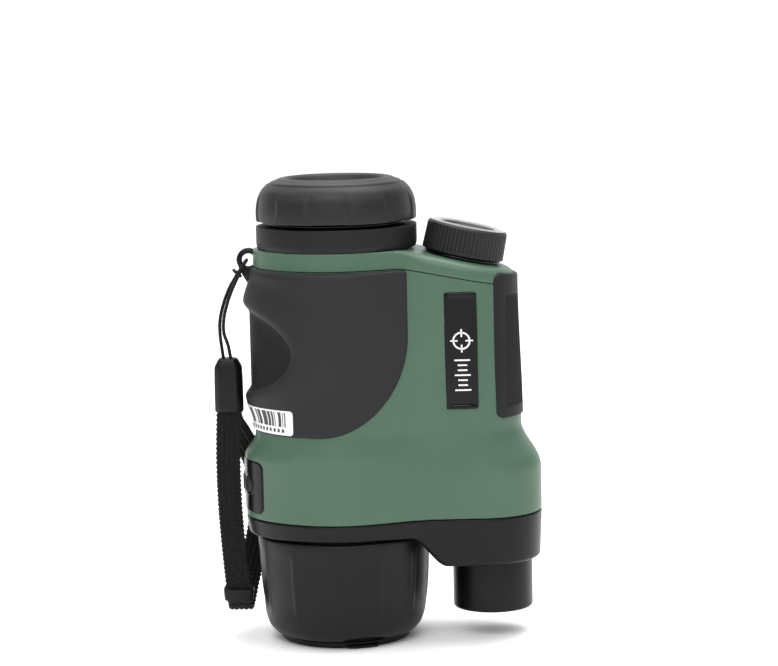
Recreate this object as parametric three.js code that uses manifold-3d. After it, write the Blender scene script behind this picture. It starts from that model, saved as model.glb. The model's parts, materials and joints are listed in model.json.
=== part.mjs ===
// Handheld monocular rangefinder, standing on its objective cap.
// Millimetres, +Z up towards the eyepiece, +X towards the battery column, -Y is the front face.
// The origin lies on the objective axis, in the plane of the cap's resting face.
import * as THREE from "three";
import { mergeVertices } from "three/addons/utils/BufferGeometryUtils.js";
import Module from "manifold-3d";

const wasm = await Module();
wasm.setup();

// ---- driving dimensions ------------------------------------------------------------------------

const SEGMENTS = 28; // steps round the larger turned parts that show
const INNER_SEGMENTS = 14; // and round those inside
const OUTLINE_SEGMENTS = 36; // steps round the housing
const WALL = 2.2; // moulded wall thickness
const GAP = 0.3; // clearance between neighbouring parts

const FRONT_SEAM = 36.5; // seam between front housing and main housing
const REAR_SEAM = 108.2; // seam between main housing and rear cover, on the barrel side
const TOP = 113.3; // top of the rear cover, on the barrel side

const BARREL_R = 24.8; // barrel radius by the front seam
const GRIP_BED_R = 23.9; // barrel radius under the rubber
const COLLAR_R = 22.8; // barrel radius by the eyepiece
const COLUMN_END = 57.5; // right end of the battery column by the front seam
const COLUMN_END_UPPER = 52;
const COLUMN_HALF = 18; // half depth of the column by the front seam
const COLUMN_HALF_UPPER = 16.9;
const COLUMN_CORNER = 17;
const POD_X = -9; // centre of the control pod's round
const POD_R = 18.8;
const PLAN_CENTRE = 14; // every plan outline is seen whole from this point on the X axis

const SHEAR_START = 62; // the column's rear end tilts, growing from this level
const SHEAR = 0.2217; // slope of the tilted rear end
const SHEAR_X = 18; // the slope begins here

const EMITTER_X = 43;
const EMITTER_R = 11.5;
const EMITTER_FLOOR = 7.7;
const FRONT_FLOOR = 22.7; // underside of the front housing on the column side
const FRONT_FLOOR_BARREL = 31.2; // underside of the front housing round the focus ring

const RING_R = 24.8; // focus ring
const FLUTES = 12;

const BATTERY_TILT = THREE.MathUtils.degToRad(12.25);
const BATTERY_FOOT = new THREE.Vector3(35.7, 0, 109.4); // where the battery axis meets the rear cover
const BATTERY_CAP_R = 11.5;

// ---- materials ---------------------------------------------------------------------------------

const material = (color, roughness, metalness = 0) =>
  new THREE.MeshStandardMaterial({ color, roughness, metalness });
const GREEN = material("#5c7a68", 0.55);
const BLACK = material("#2d2c2d", 0.5);
const RUBBER = material("#3e3f40", 0.8);
const GLOSS = material("#141414", 0.15);
const WHITE = material("#e8e8e6", 0.6);
const GLASS = material("#8fa9b8", 0.05);
const STEEL = material("#b8babd", 0.3, 1);
const BRASS = material("#b59a55", 0.35, 1);
const BOARD = material("#1f5a3a", 0.6);
const CELL = material("#394a63", 0.4);
const FABRIC = material("#1d1d1f", 0.9);

// ---- solids ------------------------------------------------------------------------------------

const group = new THREE.Group();

function solidOf(geometry) {
  const bare = geometry.clone();
  for (const name of Object.keys(bare.attributes)) {
    if (name !== "position") bare.deleteAttribute(name);
  }
  const merged = mergeVertices(bare, 1e-3);
  const triVerts = [];
  const index = merged.index.array;
  for (let i = 0; i < index.length; i += 3) {
    const [a, b, c] = [index[i], index[i + 1], index[i + 2]];
    if (a !== b && b !== c && a !== c) triVerts.push(a, b, c);
  }
  const build = (corners) =>
    new wasm.Manifold(
      new wasm.Mesh({
        numProp: 3,
        vertProperties: new Float32Array(merged.attributes.position.array),
        triVerts: new Uint32Array(corners),
      }),
    );
  const made = build(triVerts);
  return made.volume() < 0 ? build(triVerts.reverse()) : made;
}

function geometryOf(solid) {
  const mesh = solid.getMesh();
  return new THREE.BufferGeometry()
    .setAttribute("position", new THREE.BufferAttribute(new Float32Array(mesh.vertProperties), 3))
    .setIndex(new THREE.BufferAttribute(new Uint32Array(mesh.triVerts), 1));
}

function add(name, shape, look, parent = group) {
  const solid = shape.isBufferGeometry ? solidOf(shape) : shape;
  const mesh = new THREE.Mesh(geometryOf(solid), look);
  mesh.name = name;
  parent.add(mesh);
  return mesh;
}

const cut = (solid, ...tools) => tools.reduce((left, tool) => left.subtract(tool), solid);
const join = (solid, ...more) => more.reduce((left, piece) => left.add(piece), solid);

// A turned part about Z. The profile is a list of [radius, z], and it starts and ends on the axis.
function turned(profile, segments = SEGMENTS) {
  const points = profile.map(([r, z]) => new THREE.Vector2(r, z));
  return solidOf(new THREE.LatheGeometry(points, segments).rotateX(Math.PI / 2));
}

// The same for a ring, whose profile closes on itself.
const turnedRing = (profile, segments = SEGMENTS) => turned([...profile, profile[0]], segments);

const rod = (r, z0, z1, segments = 24) =>
  turned(
    [
      [0, z0],
      [r, z0],
      [r, z1],
      [0, z1],
    ],
    segments,
  );

const pipe = (r0, r1, z0, z1, segments = SEGMENTS) =>
  turnedRing(
    [
      [r0, z0],
      [r1, z0],
      [r1, z1],
      [r0, z1],
    ],
    segments,
  );

function box(x0, x1, y0, y1, z0, z1) {
  const shape = new THREE.BoxGeometry(x1 - x0, y1 - y0, z1 - z0);
  return solidOf(shape.translate((x0 + x1) / 2, (y0 + y1) / 2, (z0 + z1) / 2));
}

// A closed mesh from rings of points: each ring is joined to the next, and the last to the first when
// closed, or else both ends are filled from their middle point.
function fromRings(rings, closed) {
  const count = rings[0].length;
  const position = rings.flat(2);
  const index = [];
  const steps = closed ? rings.length : rings.length - 1;
  for (let i = 0; i < steps; i++) {
    const here = i * count;
    const next = ((i + 1) % rings.length) * count;
    for (let j = 0; j < count; j++) {
      const k = (j + 1) % count;
      index.push(here + j, here + k, next + k, here + j, next + k, next + j);
    }
  }
  const fill = (ring, base, turn) => {
    const middle = [0, 1, 2].map((axis) => ring.reduce((sum, p) => sum + p[axis], 0) / count);
    const tip = position.length / 3;
    position.push(...middle);
    for (let j = 0; j < count; j++) {
      const k = (j + 1) % count;
      index.push(...(turn ? [tip, base + k, base + j] : [tip, base + j, base + k]));
    }
  };
  if (!closed) {
    fill(rings[0], 0, true);
    fill(rings.at(-1), (rings.length - 1) * count, false);
  }
  return solidOf(
    new THREE.BufferGeometry()
      .setAttribute("position", new THREE.Float32BufferAttribute(position, 3))
      .setIndex(index),
  );
}

// ---- housing surface ---------------------------------------------------------------------------

const { clamp, lerp, smoothstep } = THREE.MathUtils;
const DEG = Math.PI / 180;

const barrelRadius = (s) =>
  BARREL_R -
  (BARREL_R - GRIP_BED_R) * smoothstep(s, 55, 62) -
  (GRIP_BED_R - COLLAR_R) * smoothstep(s, 106, 109.5);
const columnEnd = (s) =>
  COLUMN_END - (COLUMN_END - COLUMN_END_UPPER) * smoothstep(s, 49, 62) - smoothstep(s, 62, 110);
const columnHalf = (s) =>
  COLUMN_HALF - (COLUMN_HALF - COLUMN_HALF_UPPER) * smoothstep(s, 49, 62) - 0.5 * smoothstep(s, 62, 110);
const podRadius = (s) => POD_R - 4.5 * smoothstep(s, 54, 60);

// Two distances joined with a soft fillet of the given width.
function softUnion(a, b, width) {
  const h = clamp(0.5 + (b - a) / (2 * width), 0, 1);
  return lerp(b, a, h) - width * h * (1 - h);
}

// How far a plan point lies outside the housing's outline at level s.
function planDistance(x, y, s) {
  const barrel = Math.hypot(x, y) - barrelRadius(s);
  const pod = Math.hypot(x - POD_X, y) - podRadius(s);
  const half = columnHalf(s);
  const corner = Math.min(COLUMN_CORNER, half - 0.4);
  const middle = columnEnd(s) / 2;
  const across = Math.max(Math.abs(x - middle) - middle + corner, 0);
  const deep = Math.max(Math.abs(y) - half + corner, 0);
  const column = Math.hypot(across, deep) - corner;
  return softUnion(softUnion(barrel, column, 8), pod, 4);
}

// The outline's point in a direction from the plan centre, moved inwards by inset.
function outline(angle, s, inset) {
  let near = 0;
  let far = 70;
  for (let i = 0; i < 32; i++) {
    const r = (near + far) / 2;
    if (planDistance(PLAN_CENTRE + r * Math.cos(angle), r * Math.sin(angle), s) + inset < 0) near = r;
    else far = r;
  }
  return [PLAN_CENTRE + near * Math.cos(angle), near * Math.sin(angle)];
}

const ramp = (x) => {
  const d = x - SHEAR_X;
  if (d < -2) return 0;
  return d > 2 ? d : (d + 2) ** 2 / 8;
};
const slope = (s) => (SHEAR * clamp(s - SHEAR_START, 0, 60)) / (TOP - SHEAR_START);
const lifted = (x, s) => s - slope(s) * ramp(x);

// The level s whose sheared height over x is z.
function levelAt(x, z) {
  if (z <= SHEAR_START) return z;
  const c = (SHEAR * ramp(x)) / (TOP - SHEAR_START);
  return (z - SHEAR_START * c) / (1 - c);
}

function surfacePoint(angle, s, inset) {
  const [x, y] = outline(angle, s, inset);
  return [x, y, lifted(x, s)];
}

const angles = Array.from({ length: OUTLINE_SEGMENTS }, (_, i) => (i / OUTLINE_SEGMENTS) * 2 * Math.PI);
const ringAt = (s, inset) => angles.map((angle) => surfacePoint(angle, s, inset));
const ringOf = (levelFor, insetFor) =>
  angles.map((angle) => {
    const [x] = outline(angle, 60, 0);
    return surfacePoint(angle, levelFor(x), insetFor(x));
  });

// A panel that follows the housing: spans of angle from..to, and levels low..high at each angle, between
// two offsets from the surface (positive is outwards). spread moves only its first and last columns out.
function panel({ from, to, low, high, outer, inner, columns = 16, rows = 8, spread = 0 }) {
  const position = [];
  const index = [];
  const at = (i, j, offset) => {
    const beyond = i === 0 ? -spread : i === columns ? spread : 0;
    const angle = lerp(from, to, i / columns) + beyond;
    const [x] = outline(angle, 60, 0);
    const s = lerp(low(angle, x), high(angle, x), j / rows);
    return surfacePoint(angle, s, -offset(angle, s));
  };
  const column = 2 * (rows + 1);
  for (let i = 0; i <= columns; i++) {
    for (let j = 0; j <= rows; j++) position.push(...at(i, j, outer));
    for (let j = rows; j >= 0; j--) position.push(...at(i, j, inner));
  }
  for (let i = 0; i < columns; i++) {
    for (let j = 0; j < column; j++) {
      const a = i * column + j;
      const b = i * column + ((j + 1) % column);
      index.push(a, a + column, b + column, a, b + column, b);
    }
  }
  for (let j = 0; j < rows; j++) {
    const [a, b, c, d] = [j, j + 1, column - 2 - j, column - 1 - j];
    index.push(a, b, c, a, c, d);
    const last = columns * column;
    index.push(last + a, last + c, last + b, last + a, last + d, last + c);
  }
  return solidOf(
    new THREE.BufferGeometry()
      .setAttribute("position", new THREE.Float32BufferAttribute(position, 3))
      .setIndex(index),
  );
}

// A panel and the pocket that it sits in, GAP larger all round. low takes the margin itself, because a
// steep edge moves sideways too.
function inlaid(spec, depth) {
  const piece = panel({ ...spec, low: (angle, x) => spec.low(x, 0), inner: () => GAP - depth });
  const pocket = panel({
    ...spec,
    spread: GAP / 20,
    low: (angle, x) => spec.low(x, GAP),
    high: (angle, x) => spec.high(angle, x) + GAP,
    outer: () => 4,
    inner: () => -depth,
    rows: Math.min(spec.rows, 4),
  });
  return { piece, pocket };
}

// ---- rubber, plates and the control panel ------------------------------------------------------

const GRIP_EDGE = 75 * DEG; // the left grip's front and rear edges, seen from the plan centre
const GRIP_TOP = REAR_SEAM - 0.3;
const GRIP_LOW = 61.4;
const GRIP_CURVE = { x: -6, z: 90, across: 25.7, up: 28.6 }; // quarter ellipse of its lower edge
const SCOOP = { z: 84.7, half: 12.2, turn: 60 * DEG };

function gripLow(x, margin) {
  const t = clamp((x - GRIP_CURVE.x) / (GRIP_CURVE.across + margin), 0, 0.995);
  return GRIP_LOW - margin + (GRIP_CURVE.up + margin) * (1 - Math.sqrt(1 - t * t));
}

// The thumb scoop: a raised oval rim round a shallow hollow, on the left of the barrel.
function scoopHeight(angle, s) {
  const [x, y] = outline(angle, 84, 0);
  const turn = Math.atan2(Math.abs(y), -x);
  const q = Math.hypot(turn / SCOOP.turn, (s - SCOOP.z) / SCOOP.half);
  const rim = smoothstep(q, 0.8, 1.12) * (1 - smoothstep(q, 1.12, 1.7));
  return 0.8 + 0.2 * (1 - smoothstep(q, 0.8, 1)) + 1.9 * rim * Math.cos(Math.min(turn, 1.5)) ** 2;
}

const leftGrip = inlaid(
  {
    from: GRIP_EDGE,
    to: 2 * Math.PI - GRIP_EDGE,
    low: gripLow,
    high: () => GRIP_TOP,
    outer: scoopHeight,
    columns: 18,
    rows: 9,
  },
  1.2,
);

const rightGrip = inlaid(
  {
    from: -23.5 * DEG,
    to: 23.5 * DEG,
    low: (x, margin) => 64.8 - margin,
    high: () => TOP - 1.8,
    outer: () => 0.5,
    columns: 8,
    rows: 3,
  },
  1.2,
);

const nameplate = inlaid(
  {
    from: -45.7 * DEG,
    to: -32.4 * DEG,
    low: (x, margin) => levelAt(x, 68 - margin),
    high: (_, x) => levelAt(x, 100.5),
    outer: () => -0.25,
    columns: 5,
    rows: 3,
  },
  1.4,
);

const controlPanel = inlaid(
  {
    from: Math.PI - 22 * DEG,
    to: Math.PI + 22 * DEG,
    low: (x, margin) => 38.2 - margin,
    high: () => 53.4,
    outer: () => 0,
    columns: 8,
    rows: 2,
  },
  1.3,
);

const serialLabel = panel({
  from: Math.PI + 3 * DEG,
  to: Math.PI + 36 * DEG,
  low: () => 62.1,
  high: () => 69.1,
  outer: (angle, s) => scoopHeight(angle, s) + 0.45,
  inner: (angle, s) => scoopHeight(angle, s) + 0.25,
  columns: 7,
  rows: 2,
});

// ---- buttons -----------------------------------------------------------------------------------

const BUTTON_Z = 46;
const BUTTON_INNER_X = -21.2;
const BUTTON_PROUD = 0.4;
const BUTTONS = [
  { name: "power_button", y: -7.6, halfY: 2.1, halfZ: 2.1 },
  { name: "measure_button", y: 0, halfY: 3.6, halfZ: 2.6 },
  { name: "mode_button", y: 7.6, halfY: 2.1, halfZ: 2.1 },
];

// An oval rod along X.
function ovalRod(x0, x1, y, halfY, halfZ) {
  const shape = new THREE.CylinderGeometry(1, 1, x1 - x0, 16).rotateZ(Math.PI / 2);
  return solidOf(shape.scale(1, halfY, halfZ).translate((x0 + x1) / 2, y, BUTTON_Z));
}

// The housing's face over y, at the buttons' height.
function podFace(y) {
  let x = -10;
  while (planDistance(x, y, BUTTON_Z) < 0) x -= 0.02;
  return x;
}

const buttons = BUTTONS.map(({ name, y, halfY, halfZ }) => ({
  name,
  solid: ovalRod(podFace(y) - BUTTON_PROUD, BUTTON_INNER_X, y, halfY, halfZ),
  hole: ovalRod(-32, -20, y, halfY + GAP, halfZ + GAP),
}));
const buttonHoles = buttons.map(({ hole }) => hole);

// ---- case screws and the three housing shells --------------------------------------------------

const SCREWS = [
  [31, -13.5],
  [31, 13.5],
  [48.9, -11.3],
  [48.9, 11.3],
];
const SCREW_HEAD_R = 1.6;
const SCREW_SHANK_R = 1;
const BOSS_R = 2.8;
const SCREW_TIP = 44;
const HEAD_SEAT = FRONT_FLOOR + 2.2;

const at = (solid, x, y, z = 0) => solid.translate([x, y, z]);
const boss = (r, z0, z1) => SCREWS.map(([x, y]) => at(rod(r, z0, z1, 8), x, y));

const outerLevels = [FRONT_SEAM + 0.3, 49, 53, 57.5, 62, 84, 106, REAR_SEAM - 0.25];
const innerLevels = [REAR_SEAM - 0.25, 62, 49, FRONT_SEAM + 0.3];
const shellRings = [
  ...outerLevels.map((s) => ringAt(s, 0)),
  ...innerLevels.map((s) => ringAt(s, WALL)),
];
const mainHousing = cut(
  join(fromRings(shellRings, true), ...boss(BOSS_R, FRONT_SEAM + 0.3, 47)),
  ...boss(SCREW_SHANK_R + GAP, 30, SCREW_TIP + 1),
  leftGrip.pocket,
  rightGrip.pocket,
  nameplate.pocket,
  controlPanel.pocket,
  ...buttonHoles,
);

// Rear cover: the side wall rounds over by the column, and stays square under the eyepiece.
const edgeRadius = (x) => 0.4 + 2.6 * smoothstep(x, 14, 26);
const shrinking = (ring, share) => {
  const [x, y] = [PLAN_CENTRE, 0];
  return ring.map((p) => [x + (p[0] - x) * share, y + (p[1] - y) * share]);
};
const dished = (ring, share, height) => shrinking(ring, share).map(([x, y]) => [x, y, height(x)]);

const coverEdge = [0, 30, 60, 90].map((turn) =>
  ringOf(
    (x) => TOP - edgeRadius(x) * (1 - Math.sin(turn * DEG)),
    (x) => edgeRadius(x) * (1 - Math.cos(turn * DEG)),
  ),
);
const coverTop = [0.6, 0.2].map((share) => dished(coverEdge.at(-1), share, (x) => lifted(x, TOP)));
const coverFoot = ringAt(REAR_SEAM + 0.25, 0);
const coverUnder = [0.3, 0.88].map((share) =>
  dished(coverFoot, share, (x) => lifted(x, REAR_SEAM + 0.25)),
);
const coverSkin = fromRings([...coverUnder, coverFoot, ...coverEdge, ...coverTop], false);
const coverInside = TOP - WALL;
const hollowTop = [1, 0.6, 0.2].map((share) =>
  dished(ringAt(coverInside, WALL), share, (x) => lifted(x, coverInside)),
);
const hollowFoot = ringAt(REAR_SEAM - 1, WALL);
const hollowUnder = dished(hollowFoot, 0.3, (x) => lifted(x, REAR_SEAM - 1));
const coverHollow = fromRings([hollowUnder, hollowFoot, ...hollowTop], false);

const BATTERY_NECK_R = 10;
const tilted = (solid) =>
  solid
    .rotate([0, BATTERY_TILT / DEG, 0])
    .translate([BATTERY_FOOT.x, BATTERY_FOOT.y, BATTERY_FOOT.z]);
const EYE_SPIGOT_R = 19;

const rearCover = cut(
  coverSkin,
  coverHollow,
  rod(EYE_SPIGOT_R + GAP, 100, 120, SEGMENTS),
  tilted(rod(BATTERY_NECK_R + GAP, -12, 12, SEGMENTS)),
  rightGrip.pocket,
);

// Front housing: its floor steps down from the focus ring to the emitter tube in an S curve.
function frontFloor(x) {
  return FRONT_FLOOR_BARREL - (FRONT_FLOOR_BARREL - FRONT_FLOOR) * smoothstep(x, 19.5, 31.5);
}
const FRONT_TOP = FRONT_SEAM - 0.3;
const withHeight = (ring, height) => ring.map(([x, y]) => [x, y, height(x)]);
const frontSide = ringAt(40, 0);
const frontDraft = ringAt(40, 0.6);
const frontRound = ringAt(40, 1.8);
const FLOOR_SHARES = [0.2, 0.5, 0.75];
const frontSkin = fromRings(
  [
    ...FLOOR_SHARES.map((share) => dished(frontRound, share, frontFloor)),
    withHeight(frontRound, frontFloor),
    withHeight(frontDraft, (x) => frontFloor(x) + 0.8),
    withHeight(frontSide, () => FRONT_TOP - 2),
    withHeight(frontSide, () => FRONT_TOP),
  ],
  false,
);
const hollowFloor = (x) => frontFloor(x) + WALL;
const hollowSide = ringAt(40, WALL + 0.3);
const frontHollow = fromRings(
  [
    ...FLOOR_SHARES.map((share) => dished(hollowSide, share, hollowFloor)),
    withHeight(hollowSide, hollowFloor),
    withHeight(hollowSide, () => FRONT_TOP + 2),
  ],
  false,
);
const OBJECTIVE_TUBE_R = 20.7;
const EMITTER_SPIGOT_R = 10.2;
const frontShell = cut(frontSkin, frontHollow);
const frontHousing = cut(
  join(frontShell, ...boss(BOSS_R, HEAD_SEAT - 0.6, FRONT_TOP)),
  rod(RING_R + 0.8, 10, FRONT_FLOOR_BARREL, SEGMENTS),
  rod(OBJECTIVE_TUBE_R + GAP, 20, 40, SEGMENTS),
  at(rod(EMITTER_SPIGOT_R + GAP, 10, 32, 32), EMITTER_X, 0),
  ...boss(SCREW_HEAD_R + GAP, 18, HEAD_SEAT),
  ...boss(SCREW_SHANK_R + GAP, 20, 40),
);

add("main_housing", mainHousing, GREEN);
add("rear_cover", rearCover, GREEN);
add("front_housing", frontHousing, BLACK);
add("left_grip", leftGrip.piece, RUBBER);
add("right_grip", rightGrip.piece, RUBBER);
add("nameplate", nameplate.piece, GLOSS);
add("serial_label", serialLabel, WHITE);
add("control_panel", cut(controlPanel.piece, ...buttonHoles), GLOSS);
buttons.forEach(({ name, solid }) => add(name, solid, RUBBER));

const gasket = (low, high) =>
  fromRings([ringAt(low, 1.4), ringAt(high, 1.4), ringAt(high, WALL - 0.1), ringAt(low, WALL - 0.1)], true);
add("front_gasket", gasket(FRONT_SEAM - 0.15, FRONT_SEAM + 0.15), RUBBER);
add("rear_gasket", gasket(REAR_SEAM - 0.12, REAR_SEAM + 0.12), RUBBER);

SCREWS.forEach(([x, y], i) => {
  const head = rod(SCREW_HEAD_R, HEAD_SEAT - 1.9, HEAD_SEAT - 0.3, 12);
  const socket = rod(0.8, HEAD_SEAT - 3, HEAD_SEAT - 0.9, 6);
  const shank = rod(SCREW_SHANK_R, HEAD_SEAT - 0.5, SCREW_TIP, 8);
  add(`case_screw_${i + 1}`, at(cut(join(head, shank), socket), x, y), STEEL);
});

// ---- objective, focus ring and cap -------------------------------------------------------------

const RING_TOP = 30.9;
const RING_MOUTH_R = 18.9;
const NOTCH_TURN = -74 * DEG; // direction of the cap's finger tab, right of the front
const flute = (turn, r, low, high, depth) => {
  const groove = new THREE.CapsuleGeometry(3.4, high - low - 6.8, 1, 6).rotateX(Math.PI / 2);
  const placed = groove.scale(depth / 3.4, 1.35, 1).translate(r, 0, (low + high) / 2);
  return solidOf(placed.rotateZ(turn));
};
const around = (count, start = 0) =>
  Array.from({ length: count }, (_, i) => start + (i / count) * 2 * Math.PI);

const focusRing = cut(
  turnedRing([
    [RING_MOUTH_R, 1.3],
    [19.6, 1.3],
    [21.2, 2.1],
    [22.4, 3.7],
    [23, 6],
    [24.3, 15.5],
    [RING_R, 26],
    [RING_R, 30.3],
    [24.3, RING_TOP],
    [21.2, RING_TOP],
    [21.2, 6.5],
    [RING_MOUTH_R, 6.5],
  ]),
  ...around(FLUTES, 15 * DEG).map((turn) => flute(turn, 24.5, 12.5, 28.5, 0.7)),
  at(solidOf(new THREE.CylinderGeometry(6, 6, 4, 24).rotateX(Math.PI / 2)), 0, -22.2, -2.6).rotate([
    0,
    0,
    NOTCH_TURN / DEG + 90,
  ]),
);
add("objective_focus_ring", focusRing, RUBBER);

const CAP_R = 18.5;
const tab = box(-4.6, 4.6, -CAP_R - 1.1, -CAP_R + 3, 0, 1).rotate([0, 0, NOTCH_TURN / DEG + 90]);
const capBody = turned([
  [0, 0],
  [CAP_R - 0.5, 0],
  [CAP_R, 0.5],
  [CAP_R, 5.5],
  [CAP_R - 1.6, 5.5],
  [CAP_R - 1.6, 1.6],
  [0, 1.6],
]);
add("objective_cap", join(capBody, tab), BLACK);

add(
  "objective_barrel",
  turnedRing([
    [19.7, 12],
    [OBJECTIVE_TUBE_R, 12],
    [OBJECTIVE_TUBE_R, 33.7],
    [21.9, 33.7],
    [21.9, 35.4],
    [17, 35.4],
    [17, 33.9],
    [19.7, 33.9],
  ], INNER_SEGMENTS),
  STEEL,
);
add(
  "objective_cell",
  turnedRing([
    [16.9, 8.6],
    [19.3, 8.6],
    [19.3, 26],
    [11.5, 26],
    [11.5, 24.6],
    [13.5, 24.6],
    [13.5, 18.6],
    [16.9, 18.6],
  ], INNER_SEGMENTS),
  BLACK,
);
// A lens that bulges on both faces.
function lens(r, low, high, bulge) {
  const bow = (z, sign) =>
    [0, 0.6, 1].map((share) => [r * share, z + sign * bulge * (1 - share * share)]);
  return turned([...bow(low, -1), ...bow(high, 1).reverse()], INNER_SEGMENTS);
}
add("objective_front_lens", lens(16.6, 12.6, 16.6, 1.2), GLASS);
add("objective_rear_lens", lens(13.2, 19.6, 22.8, 0.8), GLASS);
add("objective_retainer", pipe(14.6, 16.6, 9, 11.2, INNER_SEGMENTS), BLACK);

// ---- emitter -----------------------------------------------------------------------------------

const emitter = new THREE.Group();
emitter.position.x = EMITTER_X;
group.add(emitter);
add(
  "emitter_tube",
  turnedRing(
    [
      [9.3, EMITTER_FLOOR],
      [10.3, EMITTER_FLOOR],
      [11.2, 8.2],
      [EMITTER_R, 9.2],
      [EMITTER_R, FRONT_FLOOR - 0.3],
      [EMITTER_SPIGOT_R, FRONT_FLOOR - 0.3],
      [EMITTER_SPIGOT_R, 27.5],
      [8.2, 27.5],
      [8.2, 18.2],
      [9.3, 18.2],
    ],
    28,
  ),
  BLACK,
  emitter,
);
add("emitter_lens", lens(9, 15, 17.2, 0.6), GLASS, emitter);
add("emitter_module", join(rod(5, 21, 33, 14), box(-7, 7, -6, 6, 32.6, 34.2)), STEEL, emitter);

// ---- eyepiece ----------------------------------------------------------------------------------

const EYE_NECK_R = 18.5;
add(
  "eyepiece_barrel",
  turnedRing([
    [16.4, 108.5],
    [EYE_SPIGOT_R, 108.5],
    [EYE_SPIGOT_R, TOP + 0.3],
    [22.5, TOP + 0.3],
    [23, 115.5],
    [23, 119.4],
    [22.6, 119.8],
    [EYE_NECK_R, 119.8],
    [EYE_NECK_R, 126],
    [16.4, 126],
  ]),
  BLACK,
);
add("eyepiece_seal", pipe(EYE_NECK_R + GAP, 19.7, 120, 121), GLOSS);
const scallop = (turn) => {
  const dent = new THREE.SphereGeometry(4, 6, 4).scale(0.24, 1, 1.25).translate(23.4, 0, 126.2);
  return solidOf(dent.rotateZ(turn));
};
add(
  "diopter_ring",
  cut(
    turnedRing([
      [19, 121.3],
      [22.6, 121.3],
      [23, 121.8],
      [23, 124.5],
      [22.6, 127],
      [21.8, 129.4],
      [20.4, 131.2],
      [19, 130.2],
    ]),
    ...around(FLUTES, 15 * DEG).map(scallop),
  ),
  RUBBER,
);
add(
  "eyecup",
  turnedRing([
    [11.5, 126.5],
    [18.5, 126.5],
    [18.5, 130.5],
    [19.9, 131.8],
    [19, 132.8],
    [17.2, 133.4],
    [15.4, 133.5],
    [14.2, 133],
    [13.4, 131],
    [11.5, 129.2],
  ]),
  RUBBER,
);
add(
  "ocular_cell",
  turnedRing([
    [14.3, 111.5],
    [16, 111.5],
    [16, 125.2],
    [14.3, 125.2],
    [14.3, 117.6],
    [12.6, 117.6],
    [12.6, 116.2],
    [14.3, 116.2],
  ], INNER_SEGMENTS),
  BLACK,
);
add("ocular_lens", lens(14, 119, 121.6, 1), GLASS);
add("ocular_retainer", pipe(12.4, 14, 123, 124.8, INNER_SEGMENTS), BLACK);
add("display_module", join(box(-9, 9, -9, 9, 100, 103), box(-7, 7, -7, 7, 96, 100.5)), GLOSS);

// ---- battery compartment, on a tilted axis -----------------------------------------------------

const battery = new THREE.Group();
battery.position.copy(BATTERY_FOOT);
battery.rotation.y = BATTERY_TILT;
group.add(battery);

const CELL_LOW = -30;
const CELL_HIGH = 4.4;
add(
  "battery_tube",
  turned(
    [
      [0, -37],
      [BATTERY_NECK_R, -37],
      [BATTERY_NECK_R, 6.2],
      [8.9, 6.2],
      [8.9, -35.4],
      [0, -35.4],
    ],
    INNER_SEGMENTS,
  ),
  BLACK,
  battery,
);
const cell = rod(8.5, CELL_LOW, CELL_HIGH, INNER_SEGMENTS);
const cellNub = rod(3.2, CELL_HIGH - 1, 5.4, 12);
add("battery", join(cell, cellNub), CELL, battery);
add(
  "cap_contact",
  turned(
    [
      [0, 5.7],
      [4.5, 5.7],
      [4.5, 6.5],
      [0, 6.5],
    ],
    20,
  ),
  BRASS,
  battery,
);
add("battery_cap_oring", pipe(BATTERY_NECK_R + GAP, 11, 0.3, 0.9, 36), GLOSS, battery);

const KNURLS = 24;
const CAP_FOOT = 1.1;
const CAP_HEAD = 9.8;
const knurledOutline = new THREE.Shape(
  around(KNURLS * 2).map((turn, i) => {
    const r = BATTERY_CAP_R - (i % 2) * 0.4;
    return new THREE.Vector2(r * Math.cos(turn), r * Math.sin(turn));
  }),
);
const knurled = new THREE.ExtrudeGeometry(knurledOutline, {
  depth: CAP_HEAD - CAP_FOOT - 0.8,
  bevelEnabled: false,
}).translate(0, 0, CAP_FOOT);
add(
  "battery_cap",
  cut(
    join(solidOf(knurled), rod(BATTERY_CAP_R - 0.9, CAP_HEAD - 1.2, CAP_HEAD - 0.4, 36)),
    rod(BATTERY_NECK_R + GAP, 0, 6.9, 36),
    pipe(7.9, BATTERY_CAP_R - 1.7, CAP_HEAD - 1.2, CAP_HEAD + 1, 30),
  ),
  BLACK,
  battery,
);
add("cap_trim_ring", pipe(8.2, BATTERY_CAP_R - 2, CAP_HEAD - 0.9, CAP_HEAD, 30), STEEL, battery);

// A rod bent along a list of points, with a round section.
function bent(points, r, sides, steps) {
  const section = new THREE.Shape(
    around(sides).map((turn) => new THREE.Vector2(r * Math.cos(turn), r * Math.sin(turn))),
  );
  const corners = points.map((p) => new THREE.Vector3(...p));
  const extrudePath = new THREE.CatmullRomCurve3(corners, false, "centripetal");
  return solidOf(new THREE.ExtrudeGeometry(section, { steps, extrudePath, bevelEnabled: false }));
}

const SPRING_TURNS = 3;
const springCoil = Array.from({ length: 31 }, (_, i) => {
  const turn = (i / 30) * SPRING_TURNS * 2 * Math.PI;
  const r = lerp(6.6, 3.2, i / 30);
  return [r * Math.cos(turn), r * Math.sin(turn), lerp(-34.6, CELL_LOW - 0.7, i / 30)];
});
add("battery_spring", bent(springCoil, 0.4, 5, 30), STEEL, battery);

// ---- boards and sensor -------------------------------------------------------------------------

add("image_sensor", box(-7, 7, -6, 6, 37.6, 39.6), GLOSS);
add("sensor_board", box(-13, 13, -11, 11, 40, 41.6), BOARD);
add("keypad_board", box(-20, -18.8, -11, 11, 39, 53), BOARD);
add("main_board", box(14, 40, 11.2, 12.6, 50, 96), BOARD);

// ---- strap lug ---------------------------------------------------------------------------------

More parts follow.
